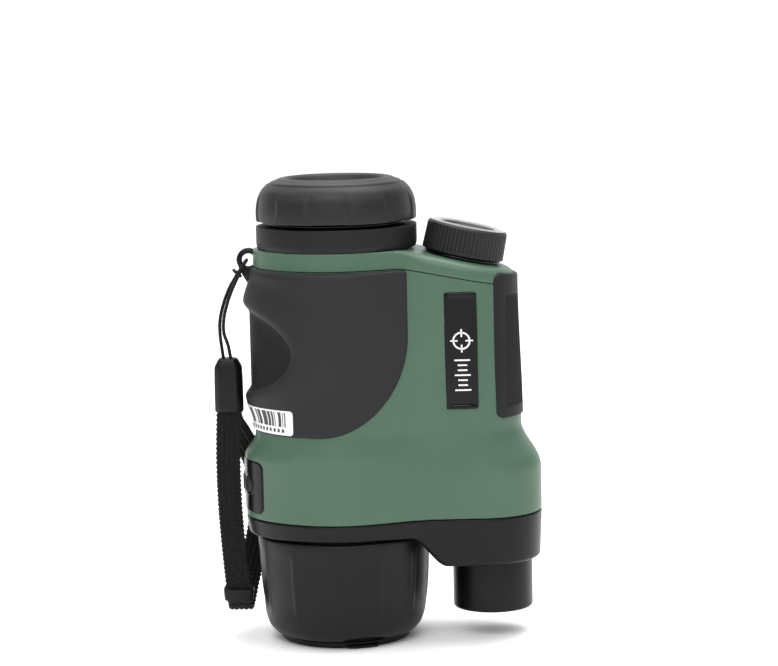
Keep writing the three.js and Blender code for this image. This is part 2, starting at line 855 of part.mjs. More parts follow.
const LUG = { x: -25.4, z: 110.1, r: 3.4, hole: 1.8, half: 1.2 };
const lugOutline = new THREE.Shape();
lugOutline.moveTo(-22.9, 113.2);
lugOutline.lineTo(-23.4, 113.2);
lugOutline.absarc(LUG.x, LUG.z, LUG.r, 60 * DEG, 200 * DEG, false);
lugOutline.lineTo(-24.6, 102.6);
lugOutline.lineTo(-24.4, 102.6);
lugOutline.lineTo(-24.2, 106);
lugOutline.lineTo(-23.6, 108.6);
const lugHole = new THREE.Path();
lugHole.absarc(LUG.x, LUG.z, LUG.hole, 0, 2 * Math.PI, true);
lugOutline.holes.push(lugHole);
const lug = new THREE.ExtrudeGeometry(lugOutline, {
  depth: 2 * LUG.half,
  bevelEnabled: false,
  curveSegments: 10,
});
const lugSolid = solidOf(lug.rotateX(Math.PI / 2).translate(0, LUG.half, 0));
const aroundLug = { from: Math.PI - 8 * DEG, to: Math.PI + 8 * DEG, columns: 2, rows: 14 };
const lugRoom = panel({
  ...aroundLug,
  low: () => 101,
  high: () => 114,
  outer: (angle, s) => Math.max(s < GRIP_TOP + 0.4 ? scoopHeight(angle, s) : 0, 0) + GAP,
  inner: () => -6,
});
add("strap_lug", cut(lugSolid, lugRoom), BLACK);

// ---- wrist strap -------------------------------------------------------------------------------

const CORD_R = 0.5;
const FERRULE = { x: -32.1, low: 66.4, high: 81.9, r: 4.1 };
const WEBBING_WIDTH = 7.2;
const WEBBING_THICK = 1.1;

// Up from the ferrule, through the lug's hole from the front, and back down to the ferrule.
const CORD_ROUTE = [
  [-31.2, -0.7, 82.2],
  [-31.9, -0.8, 85.6],
  [-33, -0.8, 89.2],
  [-32.9, -0.8, 93.2],
  [-31.9, -0.9, 97.3],
  [-30.4, -1.3, 101.4],
  [-28.7, -2, 105],
  [-27.2, -2.4, 108],
  [-26.2, -1.9, 109.6],
  [-25.9, 0, 110],
  [-26.4, 2, 109.4],
  [-27.6, 2.3, 107.6],
  [-29.2, 1.7, 105.2],
  [-31.3, 1, 101.6],
  [-33, 0.8, 97.3],
  [-34.1, 0.7, 92.7],
  [-34.2, 0.7, 88.6],
  [-33.8, 0.7, 84.6],
  [-33.4, 0.6, 82.2],
];
add("lanyard_cord", bent(CORD_ROUTE, CORD_R, 8, 32), FABRIC);

add(
  "cord_ferrule",
  at(
    turned(
      [
        [0, FERRULE.low],
        [FERRULE.r - 0.6, FERRULE.low],
        [FERRULE.r - 0.3, FERRULE.low + 0.6],
        [FERRULE.r, FERRULE.high - 3],
        [FERRULE.r - 0.9, FERRULE.high - 0.8],
        [FERRULE.r - 1.8, FERRULE.high],
        [0, FERRULE.high],
      ],
      16,
    ).scale([1, 0.75, 1]),
    FERRULE.x,
    0,
  ),
  BLACK,
);

// Down from the ferrule in front, round the fold at the bottom, and back up behind.
const WEBBING_ROUTE = [
  [-32.2, -1.7, 65.8],
  [-32.5, -1.9, 61],
  [-32.7, -2.6, 54],
  [-32.7, -3, 46],
  [-32.5, -3, 38],
  [-32.1, -2.6, 30],
  [-31.6, -1.8, 22],
  [-31.1, -0.6, 15],
  [-30.8, 0.8, 10],
  [-30.5, 3.4, 7.7],
  [-30, 6.4, 9],
  [-28.9, 9.6, 14],
  [-26.9, 13.4, 22],
  [-24.9, 17, 31],
  [-24.5, 18.4, 39],
  [-25.6, 17, 47],
  [-28, 13.2, 54],
  [-30.4, 7.6, 60],
  [-31.9, 2.9, 63.8],
  [-32.1, 2.2, 65.8],
];

// A flat strap: its width stays along X, and its thickness is square to its route.
function strap(points, width, thick, steps) {
  const curve = new THREE.CatmullRomCurve3(
    points.map((p) => new THREE.Vector3(...p)),
    false,
    "centripetal",
  );
  const across = new THREE.Vector3(1, 0, 0);
  const rings = Array.from({ length: steps + 1 }, (_, i) => {
    const middle = curve.getPointAt(i / steps);
    const along = curve.getTangentAt(i / steps);
    const face = new THREE.Vector3().crossVectors(along, across).normalize();
    const wide = new THREE.Vector3().crossVectors(face, along);
    return around(8, 22.5 * DEG).map((turn) => {
      const a = clamp(Math.cos(turn) * 1.3, -1, 1) * (width / 2);
      const b = clamp(Math.sin(turn) * 1.3, -1, 1) * (thick / 2);
      return middle.clone().addScaledVector(wide, a).addScaledVector(face, b).toArray();
    });
  });
  return fromRings(rings, false);
}
add("wrist_webbing", strap(WEBBING_ROUTE, WEBBING_WIDTH, WEBBING_THICK, 32), FABRIC);

const KEEPER = { x: -30.95, y: 0.1, z: 12.6, width: 9, deep: 4, tall: 3.8 };
const KEEPER_SLOT = { width: 8, deep: 2.2, tall: 8 };
const centred = ({ width, deep, tall }) =>
  box(-width / 2, width / 2, -deep / 2, deep / 2, -tall / 2, tall / 2);
const keeperBlock = cut(centred(KEEPER), centred(KEEPER_SLOT)).rotate([13, 3, 0]);
add("strap_keeper", at(keeperBlock, KEEPER.x, KEEPER.y, KEEPER.z), BLACK);

export default group;
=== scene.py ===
"""Looks of the handheld monocular rangefinder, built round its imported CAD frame.

Lengths are worked out in millimetres, in the frame's axes (+Z up the optical axis, +X towards the battery
column, -Y out of the front face), and become metres where a mesh or curve is made.
"""

import json
import math
from contextlib import contextmanager

import bmesh
import bpy
import numpy as np
from mathutils import Matrix, Vector

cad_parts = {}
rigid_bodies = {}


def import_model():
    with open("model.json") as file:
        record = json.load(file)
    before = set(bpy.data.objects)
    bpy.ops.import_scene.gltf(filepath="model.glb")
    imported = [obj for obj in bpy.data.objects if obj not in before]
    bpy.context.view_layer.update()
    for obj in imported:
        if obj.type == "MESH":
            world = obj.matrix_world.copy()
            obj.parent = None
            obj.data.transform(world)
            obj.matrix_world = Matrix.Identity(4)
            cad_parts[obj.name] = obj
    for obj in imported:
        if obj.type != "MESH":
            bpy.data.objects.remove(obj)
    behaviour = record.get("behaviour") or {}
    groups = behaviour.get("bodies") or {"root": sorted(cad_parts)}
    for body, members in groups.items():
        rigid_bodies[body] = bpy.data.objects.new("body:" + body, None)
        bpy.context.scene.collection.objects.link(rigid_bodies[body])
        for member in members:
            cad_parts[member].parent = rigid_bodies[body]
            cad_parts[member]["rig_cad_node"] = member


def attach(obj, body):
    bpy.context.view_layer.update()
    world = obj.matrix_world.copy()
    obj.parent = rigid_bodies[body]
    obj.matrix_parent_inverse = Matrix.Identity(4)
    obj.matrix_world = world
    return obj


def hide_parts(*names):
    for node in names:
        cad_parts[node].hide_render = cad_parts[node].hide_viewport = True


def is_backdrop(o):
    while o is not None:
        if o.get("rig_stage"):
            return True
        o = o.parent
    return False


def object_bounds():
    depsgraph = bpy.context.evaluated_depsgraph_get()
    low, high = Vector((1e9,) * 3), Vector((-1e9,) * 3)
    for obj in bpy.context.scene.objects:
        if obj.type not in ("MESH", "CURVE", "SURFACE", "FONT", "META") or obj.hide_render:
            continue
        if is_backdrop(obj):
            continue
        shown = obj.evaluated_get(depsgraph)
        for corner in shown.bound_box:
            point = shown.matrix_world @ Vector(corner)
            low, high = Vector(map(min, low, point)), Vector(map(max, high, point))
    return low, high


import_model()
cad_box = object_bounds()
MM = 0.001
DEG = math.pi / 180
rng = np.random.default_rng(7)

# ---- camera, light and floor ---------------------------------------------------------------------

CAMERA_PLACE = (14.4, -784, 188)
CAMERA_TARGET = (14.4, 0, 88)
CAMERA_ROLL = math.radians(-1.3)
FOCAL_LENGTH = 127.2
FLOOR_HALF = 4


def aim(obj, target, roll=0.0):
    way = (Vector(target) - obj.location).normalized()
    turn = way.to_track_quat("-Z", "Y").to_matrix().to_4x4()
    obj.matrix_world = Matrix.Translation(obj.location) @ turn @ Matrix.Rotation(roll, 4, "Z")


def build_camera():
    data = bpy.data.cameras.new("camera")
    data.lens = FOCAL_LENGTH
    data.sensor_width = 36
    data.clip_start = 0.05
    data.clip_end = 20
    camera = bpy.data.objects.new("camera", data)
    camera.location = Vector(CAMERA_PLACE) * MM
    bpy.context.scene.collection.objects.link(camera)
    aim(camera, Vector(CAMERA_TARGET) * MM, CAMERA_ROLL)
    bpy.context.scene.camera = camera


def area_light(name, place, target, size, power):
    data = bpy.data.lights.new(name, "AREA")
    data.shape = "RECTANGLE"
    data.size, data.size_y = size
    data.energy = power
    light = bpy.data.objects.new(name, data)
    light.location = place
    bpy.context.scene.collection.objects.link(light)
    aim(light, target)


def shade_dome(tree):
    """White behind (+Y) and overhead, bright to the front right and dim to the left, as in a light tent."""
    background = tree.nodes["Background"]
    background.inputs["Color"].default_value = (1, 1, 1, 1)
    way = tree.nodes.new("ShaderNodeTexCoord").outputs["Generated"]
    split = tree.nodes.new("ShaderNodeSeparateXYZ")
    tree.links.new(way, split.inputs["Vector"])

    def share(source, low, high, out_low, out_high):
        node = tree.nodes.new("ShaderNodeMapRange")
        node.interpolation_type = "SMOOTHSTEP"
        names = ("From Min", "From Max", "To Min", "To Max")
        for name, value in zip(names, (low, high, out_low, out_high)):
            node.inputs[name].default_value = value
        tree.links.new(source, node.inputs["Value"])
        return node.outputs["Result"]

    def combine(operation, a, b):
        node = tree.nodes.new("ShaderNodeMath")
        node.operation = operation
        tree.links.new(a, node.inputs[0])
        tree.links.new(b, node.inputs[1])
        return node.outputs["Value"]

    behind = share(split.outputs["Y"], 0.2, 0.85, 0.0, 1.1)
    overhead = share(split.outputs["Z"], 0.25, 0.8, 0.0, 1.6)
    left = share(split.outputs["X"], -0.9, -0.25, 0.12, 0.4)
    right = share(split.outputs["X"], 0.3, 0.9, 1.0, 0.55)
    front = combine("MULTIPLY", left, right)
    strength = combine("MAXIMUM", combine("MAXIMUM", behind, overhead), front)
    tree.links.new(strength, background.inputs["Strength"])


def build_studio():
    """A white floor under soft light: the dome, a large key light from the front and one overhead."""
    world = bpy.data.worlds.new("studio")
    world.use_nodes = True
    bpy.context.scene.world = world
    shade_dome(world.node_tree)
    middle = (0.014, 0, 0.07)
    area_light("key", (-0.1, -0.75, 0.75), middle, (0.7, 0.5), 4.5)
    area_light("top", (0.1, 0.15, 0.95), middle, (0.8, 0.5), 7)
    mesh = bpy.data.meshes.new("floor")
    corners = [(FLOOR_HALF * x, FLOOR_HALF * y, 0) for x, y in ((-1, -1), (1, -1), (1, 1), (-1, 1))]
    mesh.from_pydata(corners, [], [(0, 1, 2, 3)])
    floor = bpy.data.objects.new("floor", mesh)
    bpy.context.scene.collection.objects.link(floor)
    paper = bpy.data.materials.new("paper")
    paper.use_nodes = True
    shader = paper.node_tree.nodes["Principled BSDF"]
    shader.inputs["Base Color"].default_value = (0.94, 0.94, 0.94, 1)
    shader.inputs["Roughness"].default_value = 0.6
    floor.data.materials.append(paper)
    floor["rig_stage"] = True
    bpy.context.scene.view_settings.view_transform = "Standard"


build_camera()
build_studio()

# ---- materials -----------------------------------------------------------------------------------


class Nodes:
    """A material's node tree, with short calls to add and join its nodes."""

    def __init__(self, name):
        self.material = bpy.data.materials.new(name)
        self.material.use_nodes = True
        self.tree = self.material.node_tree
        self.shader = self.tree.nodes["Principled BSDF"]
        self.place = self.add("ShaderNodeTexCoord").outputs["Object"]

    def add(self, kind, **settings):
        node = self.tree.nodes.new(kind)
        for key, value in settings.items():
            setattr(node, key, value)
        return node

    def join(self, source, target):
        self.tree.links.new(source, target)

    def mapped(self, scale):
        node = self.add("ShaderNodeMapping")
        node.inputs["Scale"].default_value = scale
        self.join(self.place, node.inputs["Vector"])
        return node.outputs["Vector"]

    def noise(self, scale, detail=3.0, roughness=0.5, stretch=(1, 1, 1)):
        node = self.add("ShaderNodeTexNoise")
        node.inputs["Scale"].default_value = scale
        node.inputs["Detail"].default_value = detail
        node.inputs["Roughness"].default_value = roughness
        self.join(self.mapped(stretch), node.inputs["Vector"])
        return node.outputs["Fac"]

    def cells(self, scale):
        node = self.add("ShaderNodeTexVoronoi")
        node.inputs["Scale"].default_value = scale
        self.join(self.place, node.inputs["Vector"])
        return node.outputs["Distance"]

    def colour(self, value, base, low, high, stops=(0.35, 0.65)):
        """Varies the base colour between two shares of its strength."""
        node = self.add("ShaderNodeValToRGB")
        for element, stop, share in zip(node.color_ramp.elements, stops, (low, high)):
            element.position = stop
            element.color = (*(min(1.0, c * share) for c in base), 1)
        self.join(value, node.inputs["Fac"])
        self.join(node.outputs["Color"], self.shader.inputs["Base Color"])

    def roughness(self, value, low, high):
        node = self.add("ShaderNodeMapRange")
        node.inputs["To Min"].default_value = low
        node.inputs["To Max"].default_value = high
        self.join(value, node.inputs["Value"])
        self.join(node.outputs["Result"], self.shader.inputs["Roughness"])

    def bump(self, height, strength, distance, under=None):
        node = self.add("ShaderNodeBump")
        node.inputs["Strength"].default_value = strength
        node.inputs["Distance"].default_value = distance * MM
        self.join(height, node.inputs["Height"])
        if under is not None:
            self.join(under, node.inputs["Normal"])
        return node.outputs["Normal"]

    def set(self, **values):
        for key, value in values.items():
            self.shader.inputs[key.replace("_", " ")].default_value = value


def moulded(name, colour, rough, grain=2600, depth=0.03, spread=0.06, specular=0.5):
    """Moulded plastic or rubber: a fine spark-eroded grain, faint clouding and handling marks."""
    n = Nodes(name)
    cloud = n.noise(38, 4)
    n.colour(cloud, colour, 1 - spread, 1 + spread)
    smear = n.noise(120, 5, 0.6, (1, 1, 0.35))
    n.roughness(smear, rough - 0.07, rough + 0.07)
    pebble = n.bump(n.cells(grain), 0.5, depth)
    n.join(n.bump(n.noise(grain * 0.5, 2), 0.4, depth, pebble), n.shader.inputs["Normal"])
    n.set(Specular_IOR_Level=specular)
    return n.material


def glossy(name, colour, rough=0.08, coat=0.6, specular=0.5):
    """Polished plastic: nearly smooth, with faint waviness and fine wipe marks."""
    n = Nodes(name)
    n.colour(n.noise(60, 3), colour, 0.9, 1.1)
    n.roughness(n.noise(300, 4, 0.6, (1, 1, 0.1)), rough * 0.6, rough * 1.6)
    n.join(n.bump(n.noise(90, 2), 0.1, 0.03), n.shader.inputs["Normal"])
    n.set(Coat_Weight=coat, Coat_Roughness=0.04, Specular_IOR_Level=specular)
    return n.material


def metal(name, colour, rough=0.25):
    """Turned or brushed metal, with streaks across the brush direction."""
    n = Nodes(name)
    streak = n.noise(160, 4, 0.6, (1, 1, 60))
    n.colour(streak, colour, 0.86, 1.08)
    n.roughness(streak, rough * 0.7, rough * 1.4)
    n.join(n.bump(streak, 0.12, 0.02), n.shader.inputs["Normal"])
    n.set(Metallic=1.0)
    return n.material


def coated_glass(name, tint):
    """A coated lens, seen against the dark inside of its cell."""
    n = Nodes(name)
    n.colour(n.noise(30, 2), tint, 0.8, 1.2)
    n.roughness(n.noise(200, 3), 0.015, 0.05)
    n.set(Coat_Weight=1.0, Coat_Roughness=0.02, Specular_IOR_Level=0.8, Coat_Tint=(0.7, 0.85, 1, 1))
    return n.material


def woven(name, colour, pitch):
    """Woven webbing: ribs along the strap, crossed by slanted threads, with painted shade darkening the low
    parts between threads.
    """
    n = Nodes(name)
    uv = n.add("ShaderNodeUVMap").outputs["UV"]
    wave = n.add("ShaderNodeTexWave", wave_type="BANDS", bands_direction="DIAGONAL")
    wave.inputs["Scale"].default_value = 1 / pitch
    wave.inputs["Distortion"].default_value = 0.4
    n.join(uv, wave.inputs["Vector"])
    fuzz = n.noise(2400, 4, 0.7)
    # The colour follows the bump's bands and is darker in their low parts: painted shade in the grooves
    # between threads.
    n.colour(wave.outputs["Fac"], colour, 0.55, 1.5, (0.2, 0.9))
    thread = n.bump(wave.outputs["Fac"], 0.7, 0.25)
    n.join(n.bump(fuzz, 0.5, 0.1, thread), n.shader.inputs["Normal"])
    n.set(Roughness=0.75, Sheen_Weight=0.08, Sheen_Roughness=0.4, Specular_IOR_Level=0.24)
    return n.material


GREEN = moulded("green_shell", (0.0565, 0.11, 0.073), 0.4, spread=0.04, specular=0.35)
BLACK = moulded("black_plastic", (0.0037, 0.0035, 0.0036), 0.36, specular=0.2)
GRIP = moulded("grip_rubber", (0.0125, 0.013, 0.0142), 0.58, grain=1900, depth=0.05, specular=0.26)
RING = moulded("ring_rubber", (0.0041, 0.0041, 0.0044), 0.42, grain=2200, specular=0.22)
PLATE_BLACK = glossy("plate_black", (0.003, 0.003, 0.0034), 0.1, 0.0, 0.2)
SATIN = moulded("satin_black", (0.0085, 0.0088, 0.0095), 0.55, grain=1900, depth=0.05, specular=0.22)
KEY = moulded("button_rubber", (0.014, 0.0145, 0.015), 0.55, grain=1500, specular=0.3)
SEAL = glossy("seal_rubber", (0.004, 0.004, 0.004), 0.22, 0.1)
GLOSS = glossy("gloss_black", (0.0025, 0.0025, 0.003), 0.06, 0.25)
PRINT = moulded("label_vinyl", (0.78, 0.78, 0.77), 0.45, grain=900, depth=0.01, spread=0.02)
# Black rubber made lighter to paint in highlights: the light from above on the diopter ring's dents and on
# the battery cap's ribs. The eyecup shares it.
LIT_BLACK_RUBBER = moulded("eyecup_rubber", (0.013, 0.013, 0.0135), 0.46, grain=2200, specular=0.28)
# The scoop's rubber: the coarser, rougher grain is its own, and the darker colour is painted shade in the
# hollow.
SCOOP_RUBBER_AND_SHADE = moulded("scoop_rubber_and_shade", (0.0075, 0.0077, 0.008), 0.72, grain=1100, depth=0.12, specular=0.16)
PANEL = moulded("panel_black", (0.003, 0.003, 0.0032), 0.24, grain=1500, depth=0.01, specular=0.16)
INK = moulded("label_ink", (0.03, 0.03, 0.03), 0.5, grain=900, depth=0.01)
MARK = moulded("mark_ink", (0.72, 0.72, 0.72), 0.35, grain=900, depth=0.01)
LENS = coated_glass("coated_lens", (0.012, 0.02, 0.035))
ALUMINIUM = metal("aluminium", (0.55, 0.55, 0.57))
ANODISED = metal("black_anodised", (0.018, 0.018, 0.02), 0.38)
POLISHED = metal("polished_metal", (0.42, 0.42, 0.43), 0.12)
STEEL = metal("steel", (0.5, 0.5, 0.51))
BRASS = metal("brass", (0.6, 0.44, 0.17))
SLEEVE = glossy("battery_sleeve", (0.05, 0.09, 0.2), 0.2, 0.4)
BOARD = moulded("circuit_board", (0.02, 0.11, 0.055), 0.35, grain=700)
CORD = woven("braided_cord", (0.005, 0.005, 0.0054), 0.9)
WEBBING = woven("ribbed_webbing", (0.0055, 0.0053, 0.0055), 0.8)

# ---- mesh making ---------------------------------------------------------------------------------


def piece(name, body, points, faces, material, *nodes, smooth=42, uv=None):
    """A mesh from points in millimetres, riding on a body and standing for the named CAD nodes."""
    mesh = bpy.data.meshes.new(name)
    mesh.from_pydata((np.asarray(points) * MM).tolist(), [], [list(f) for f in faces])
    mesh.validate()
    obj = bpy.data.objects.new(name, mesh)
    bpy.context.scene.collection.objects.link(obj)
    for look in material if isinstance(material, tuple) else (material,):
        mesh.materials.append(look)
    if uv is not None:
        layer = mesh.uv_layers.new(name="UVMap")
        loops = np.array([loop.vertex_index for loop in mesh.loops])
        layer.data.foreach_set("uv", np.asarray(uv)[loops].ravel())
    with editing(mesh) as made:
        bmesh.ops.recalc_face_normals(made, faces=made.faces)
    soften(obj, smooth)
    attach(obj, body)
    if nodes:
        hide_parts(*nodes)
    return obj


@contextmanager
def editing(mesh):
    """Opens a mesh as a bmesh, and writes it back."""
    made = bmesh.new()
    made.from_mesh(mesh)
    yield made
    made.to_mesh(mesh)
    made.free()


def soften(obj, angle):
    for polygon in obj.data.polygons:
        polygon.use_smooth = True
    obj.data.set_sharp_from_angle(angle=math.radians(angle))


def circle(count):
    return np.linspace(0, 2 * math.pi, count, endpoint=False)


def unit(rows):
    return rows / np.linalg.norm(rows, axis=1)[:, None]


def arc(first, corner, last, shares):
    """Points on the curve from first to last that a corner pulls towards itself."""
    return [(1 - t) ** 2 * first + 2 * t * (1 - t) * corner + t * t * last for t in shares]


def looped(rows, columns, wrap_rows=False):
    """The faces of a grid of points whose columns close on themselves, as its rows may too."""
    i, j = np.divmod(np.arange((rows if wrap_rows else rows - 1) * columns), columns)
    k, m = (i + 1) % rows, (j + 1) % columns
    return np.stack([i * columns + j, i * columns + m, k * columns + m, k * columns + j], 1).tolist()


def capped(rows, columns):
    """The faces of such a grid with a face across each end."""
    last = (rows - 1) * columns
    return looped(rows, columns) + [tuple(range(columns - 1, -1, -1)), tuple(range(last, last + columns))]


def lathe(name, body, profile, material, *nodes, about=(0, 0), shape=None, steps=144, smooth=42):
    """A turned piece about Z from (radius, z) corners. A profile that starts and ends off the axis closes
    on itself. shape(r, z, turn) may move each point's radius and height."""
    corners = np.array(profile, float)
    closed = corners[0][0] > 1e-6
    turn = np.arange(steps) / steps * 2 * math.pi
    r = np.repeat(corners[:, 0:1], steps, 1)
    z = np.repeat(corners[:, 1:2], steps, 1)
    if shape is not None:
        r, z = shape(r, z, turn[None, :])
    points = np.stack([about[0] + r * np.cos(turn), about[1] + r * np.sin(turn), z], -1)
    faces = looped(len(corners), steps, wrap_rows=closed)
    obj = piece(name, body, points.reshape(-1, 3), faces, material, *nodes, smooth=smooth)
    if not closed:
        with editing(obj.data) as made:
            bmesh.ops.remove_doubles(made, verts=made.verts, dist=1e-6)
            bmesh.ops.recalc_face_normals(made, faces=made.faces)
        soften(obj, smooth)
    return obj


def rounded(corners, radius=0.3, steps=4):
    """A profile with its corners cut by short arcs, but for the two ends of one that starts on the axis.
    (r, z, radius) gives a corner its own radius."""
    out = []
    count = len(corners)
    closed = corners[0][0] > 1e-6
    for i, corner in enumerate(corners):
        here = np.array(corner[:2], float)
        size = corner[2] if len(corner) > 2 else radius
        if size == 0 or (not closed and i in (0, count - 1)):
            out.append(tuple(here))
            continue
        ways = [np.array(corners[k % count][:2], float) - here for k in (i - 1, i + 1)]
        spans = [np.linalg.norm(way) for way in ways]
        reach = min(size, 0.45 * min(spans))
        first, last = (here + way / span * reach for way, span in zip(ways, spans))
        out += [tuple(point) for point in arc(first, here, last, np.linspace(0, 1, steps + 1))]
    return out


def dense(profile, longest):
    """The profile with its straight runs split so that no step is longer than longest."""
    out = []
    for here, after in zip(profile, profile[1:]):
        count = max(1, math.ceil(math.dist(here, after) / longest))
        here, after = np.array(here), np.array(after)
        out += [tuple(here + (after - here) * i / count) for i in range(count)]
    return out + [profile[-1]]


def smoothstep(x, low, high):
    t = np.clip((np.asarray(x, float) - low) / (high - low), 0, 1)
    return t * t * (3 - 2 * t)


# ---- housing surface -----------------------------------------------------------------------------

WALL = 2.2
FRONT_SEAM = 36.5
REAR_SEAM = 108.2
TOP = 113.3
PLAN_CENTRE = 14.0
SHEAR_START = 62.0
SHEAR = 0.2217
SHEAR_X = 18.0


def soft_union(a, b, width):
    h = np.clip(0.5 + (b - a) / (2 * width), 0, 1)
    return b + (a - b) * h - width * h * (1 - h)


def plan_distance(x, y, s):
    """How far a plan point lies outside the housing's outline at level s."""
    barrel_r = 24.8 - 0.9 * smoothstep(s, 55, 62) - 1.1 * smoothstep(s, 106, 109.5)
    end = 57.5 - 5.5 * smoothstep(s, 49, 62) - smoothstep(s, 62, 110)
    half = 18 - 1.1 * smoothstep(s, 49, 62) - 0.5 * smoothstep(s, 62, 110)
    pod_r = 18.8 - 4.5 * smoothstep(s, 54, 60)
    barrel = np.hypot(x, y) - barrel_r
    pod = np.hypot(x + 9, y) - pod_r
    corner = np.minimum(17, half - 0.4)
    middle = end / 2
    across = np.maximum(np.abs(x - middle) - middle + corner, 0)
    deep = np.maximum(np.abs(y) - half + corner, 0)
    column = np.hypot(across, deep) - corner
    return soft_union(soft_union(barrel, column, 8), pod, 4)


def outline(angle, s, inset=0.0):
    """The outline's point in a direction from the plan centre, moved inwards by inset."""
    angle, s, inset = np.broadcast_arrays(np.asarray(angle, float), s, inset)
    near = np.zeros(angle.shape)
    far = np.full(angle.shape, 70.0)
    for _ in range(30):
        r = (near + far) / 2
        inside = plan_distance(PLAN_CENTRE + r * np.cos(angle), r * np.sin(angle), s) + inset < 0
        near = np.where(inside, r, near)
        far = np.where(inside, far, r)
    return PLAN_CENTRE + near * np.cos(angle), near * np.sin(angle)


def ramp_x(x):
    d = np.asarray(x, float) - SHEAR_X
    return np.where(d < -2, 0, np.where(d > 2, d, (d + 2) ** 2 / 8))


def lifted(x, s):
    """The height of level s over x: the column's rear end is tilted."""
    return s - SHEAR * np.clip(s - SHEAR_START, 0, 60) / (TOP - SHEAR_START) * ramp_x(x)


def level_at(x, z):
    c = SHEAR * ramp_x(x) / (TOP - SHEAR_START)
    return np.where(z <= SHEAR_START, z, (z - SHEAR_START * c) / (1 - c))


def skin(angle, s, inset=0.0):
    x, y = outline(angle, s, inset)
    return np.stack([x, y, lifted(x, s)], -1)


def even_angles(count, s=80.0):
    """Directions from the plan centre that share the outline at level s evenly."""
    fine = np.linspace(-math.pi, math.pi, 1441)
    x, y = outline(fine, s)
    run = np.concatenate([[0], np.cumsum(np.hypot(np.diff(x), np.diff(y)))])
    return np.interp(np.arange(count) / count * run[-1], run, fine)


AROUND = even_angles(300)
FRONT_ANGLES = np.linspace(-math.pi, 0, 1800)
FRONT_X = outline(FRONT_ANGLES, 84.0)[0]


def front_angle(x):
    """The direction of the front outline's point over x, at mid height."""
    return np.interp(x, FRONT_X, FRONT_ANGLES)


def ring(s, inset):
    return skin(AROUND, s, inset)


# ---- the three housing shells --------------------------------------------------------------------

LIP = 0.3  # softened edge beside each seam


def lip_rings(seam, into):
    """Rings that round a shell's edge over from the seam's face to its side."""
    return [
        ring(seam + into * LIP * (1 - math.cos(t)), LIP * (1 - math.sin(t)) + 0.02)
        for t in np.linspace(0, math.pi / 2, 4)
    ]


def stack(rings):
    """The points and faces of rings joined in turn, the last one to the first."""
    return np.concatenate(rings), looped(len(rings), len(rings[0]), wrap_rows=True)


def build_main_housing():
    low, high = FRONT_SEAM + 0.12, REAR_SEAM - 0.1
    levels = np.concatenate([np.linspace(low + 0.6, 64, 34), np.linspace(66, high - 0.6, 24)])
    sides = [ring(s, 0) for s in levels]
    inner = [ring(s, WALL) for s in np.linspace(high, low, 16)]
    rings = lip_rings(low, 1) + sides + lip_rings(high, -1)[::-1] + inner
    piece("housing_main", "instrument", *stack(rings), GREEN, "main_housing", smooth=60)


BATTERY_TILT = 12.25 * DEG
BATTERY_FOOT = np.array([35.7, 0, 109.4])


def tilt(obj):
    """Stands a piece that was made upright at the origin on the battery's axis."""
    turn = Matrix.Rotation(BATTERY_TILT, 4, "Y")
    obj.data.transform(Matrix.Translation(Vector(BATTERY_FOOT * MM)) @ turn)
    return obj


def shrunk(ring_points, share, height):
    x = PLAN_CENTRE + (ring_points[:, 0] - PLAN_CENTRE) * share
    return np.stack([x, ring_points[:, 1] * share, height(x)], -1)


def build_rear_cover():
    x = outline(AROUND, 60.0)[0]
    radius = 0.4 + 2.6 * smoothstep(x, 14, 26)
    low = REAR_SEAM + 0.1
    edge = [
        skin(AROUND, TOP - radius * (1 - math.sin(t)), radius * (1 - math.cos(t)))
        for t in np.linspace(0, math.pi / 2, 10)
    ]
    top = [shrunk(edge[-1], share, lambda x: lifted(x, TOP)) for share in np.linspace(0.97, 0.02, 34)]
    ceiling = ring(TOP - WALL, WALL)
    under = [shrunk(ceiling, share, lambda x: lifted(x, TOP - WALL)) for share in np.linspace(0.02, 1, 12)]
    inner = [ring(s, WALL) for s in (109.8, low)]
    rings = lip_rings(low, 1) + [ring(low + 0.6, 0)] + edge + top + under + inner
    cover = piece("housing_rear", "instrument", *stack(rings), GREEN, "rear_cover", smooth=50)
    eyepiece_room = cutter(19.15, 100, 120)
    neck_room = tilt(cutter(10.15, -12, 12))
    carve(cover, eyepiece_room, neck_room)


FLOOR_COLUMN = 22.7
FLOOR_BARREL = 31.2
EMITTER = (43, 0)


def front_floor(x):
    return FLOOR_BARREL - (FLOOR_BARREL - FLOOR_COLUMN) * smoothstep(x, 19.5, 31.5)


def at_height(ring_points, height):
    return np.concatenate([ring_points[:, :2], np.broadcast_to(height, (len(ring_points),))[:, None]], 1)


def build_front_housing():
    level, radius, taper = 40.0, 1.3, 0.6
    high = FRONT_SEAM - 0.12
    floor_z = front_floor(ring(level, 0)[:, 0])
    foot = ring(level, radius + taper)
    middle = [shrunk(foot, share, front_floor) for share in np.linspace(0.02, 0.985, 40)]
    edge = []
    for t in np.linspace(0, math.pi / 2, 8):
        inset = taper + radius * (1 - math.sin(t))
        edge.append(at_height(ring(level, inset), floor_z + radius * (1 - math.cos(t))))
    side = []
    for share in np.linspace(0.06, 1, 10):
        height = (floor_z + radius) * (1 - share) + (high - 0.6) * share
        side.append(at_height(ring(level, taper * (1 - share)), height))
    lips = [
        at_height(ring(level, LIP * (1 - math.cos(t))), high - LIP * (1 - math.sin(t)))
        for t in np.linspace(0, math.pi / 2, 4)
    ]
    wall = ring(level, WALL)
    inner = [at_height(wall, z) for z in (high, 35.0)]
    ceiling = [shrunk(wall, share, lambda x: np.full(len(x), 34.8)) for share in np.linspace(1, 0.02, 6)]
    rings = middle + edge + side + lips + inner + ceiling
    housing = piece("housing_front", "instrument", *stack(rings), BLACK, "front_housing", smooth=50)
    ring_room = cutter(25.6, 15, FLOOR_BARREL)
    barrel_room = cutter(21, 15, 40)
    tube_room = cutter(10.6, 15, 40, EMITTER)
    carve(housing, ring_room, barrel_room, tube_room)


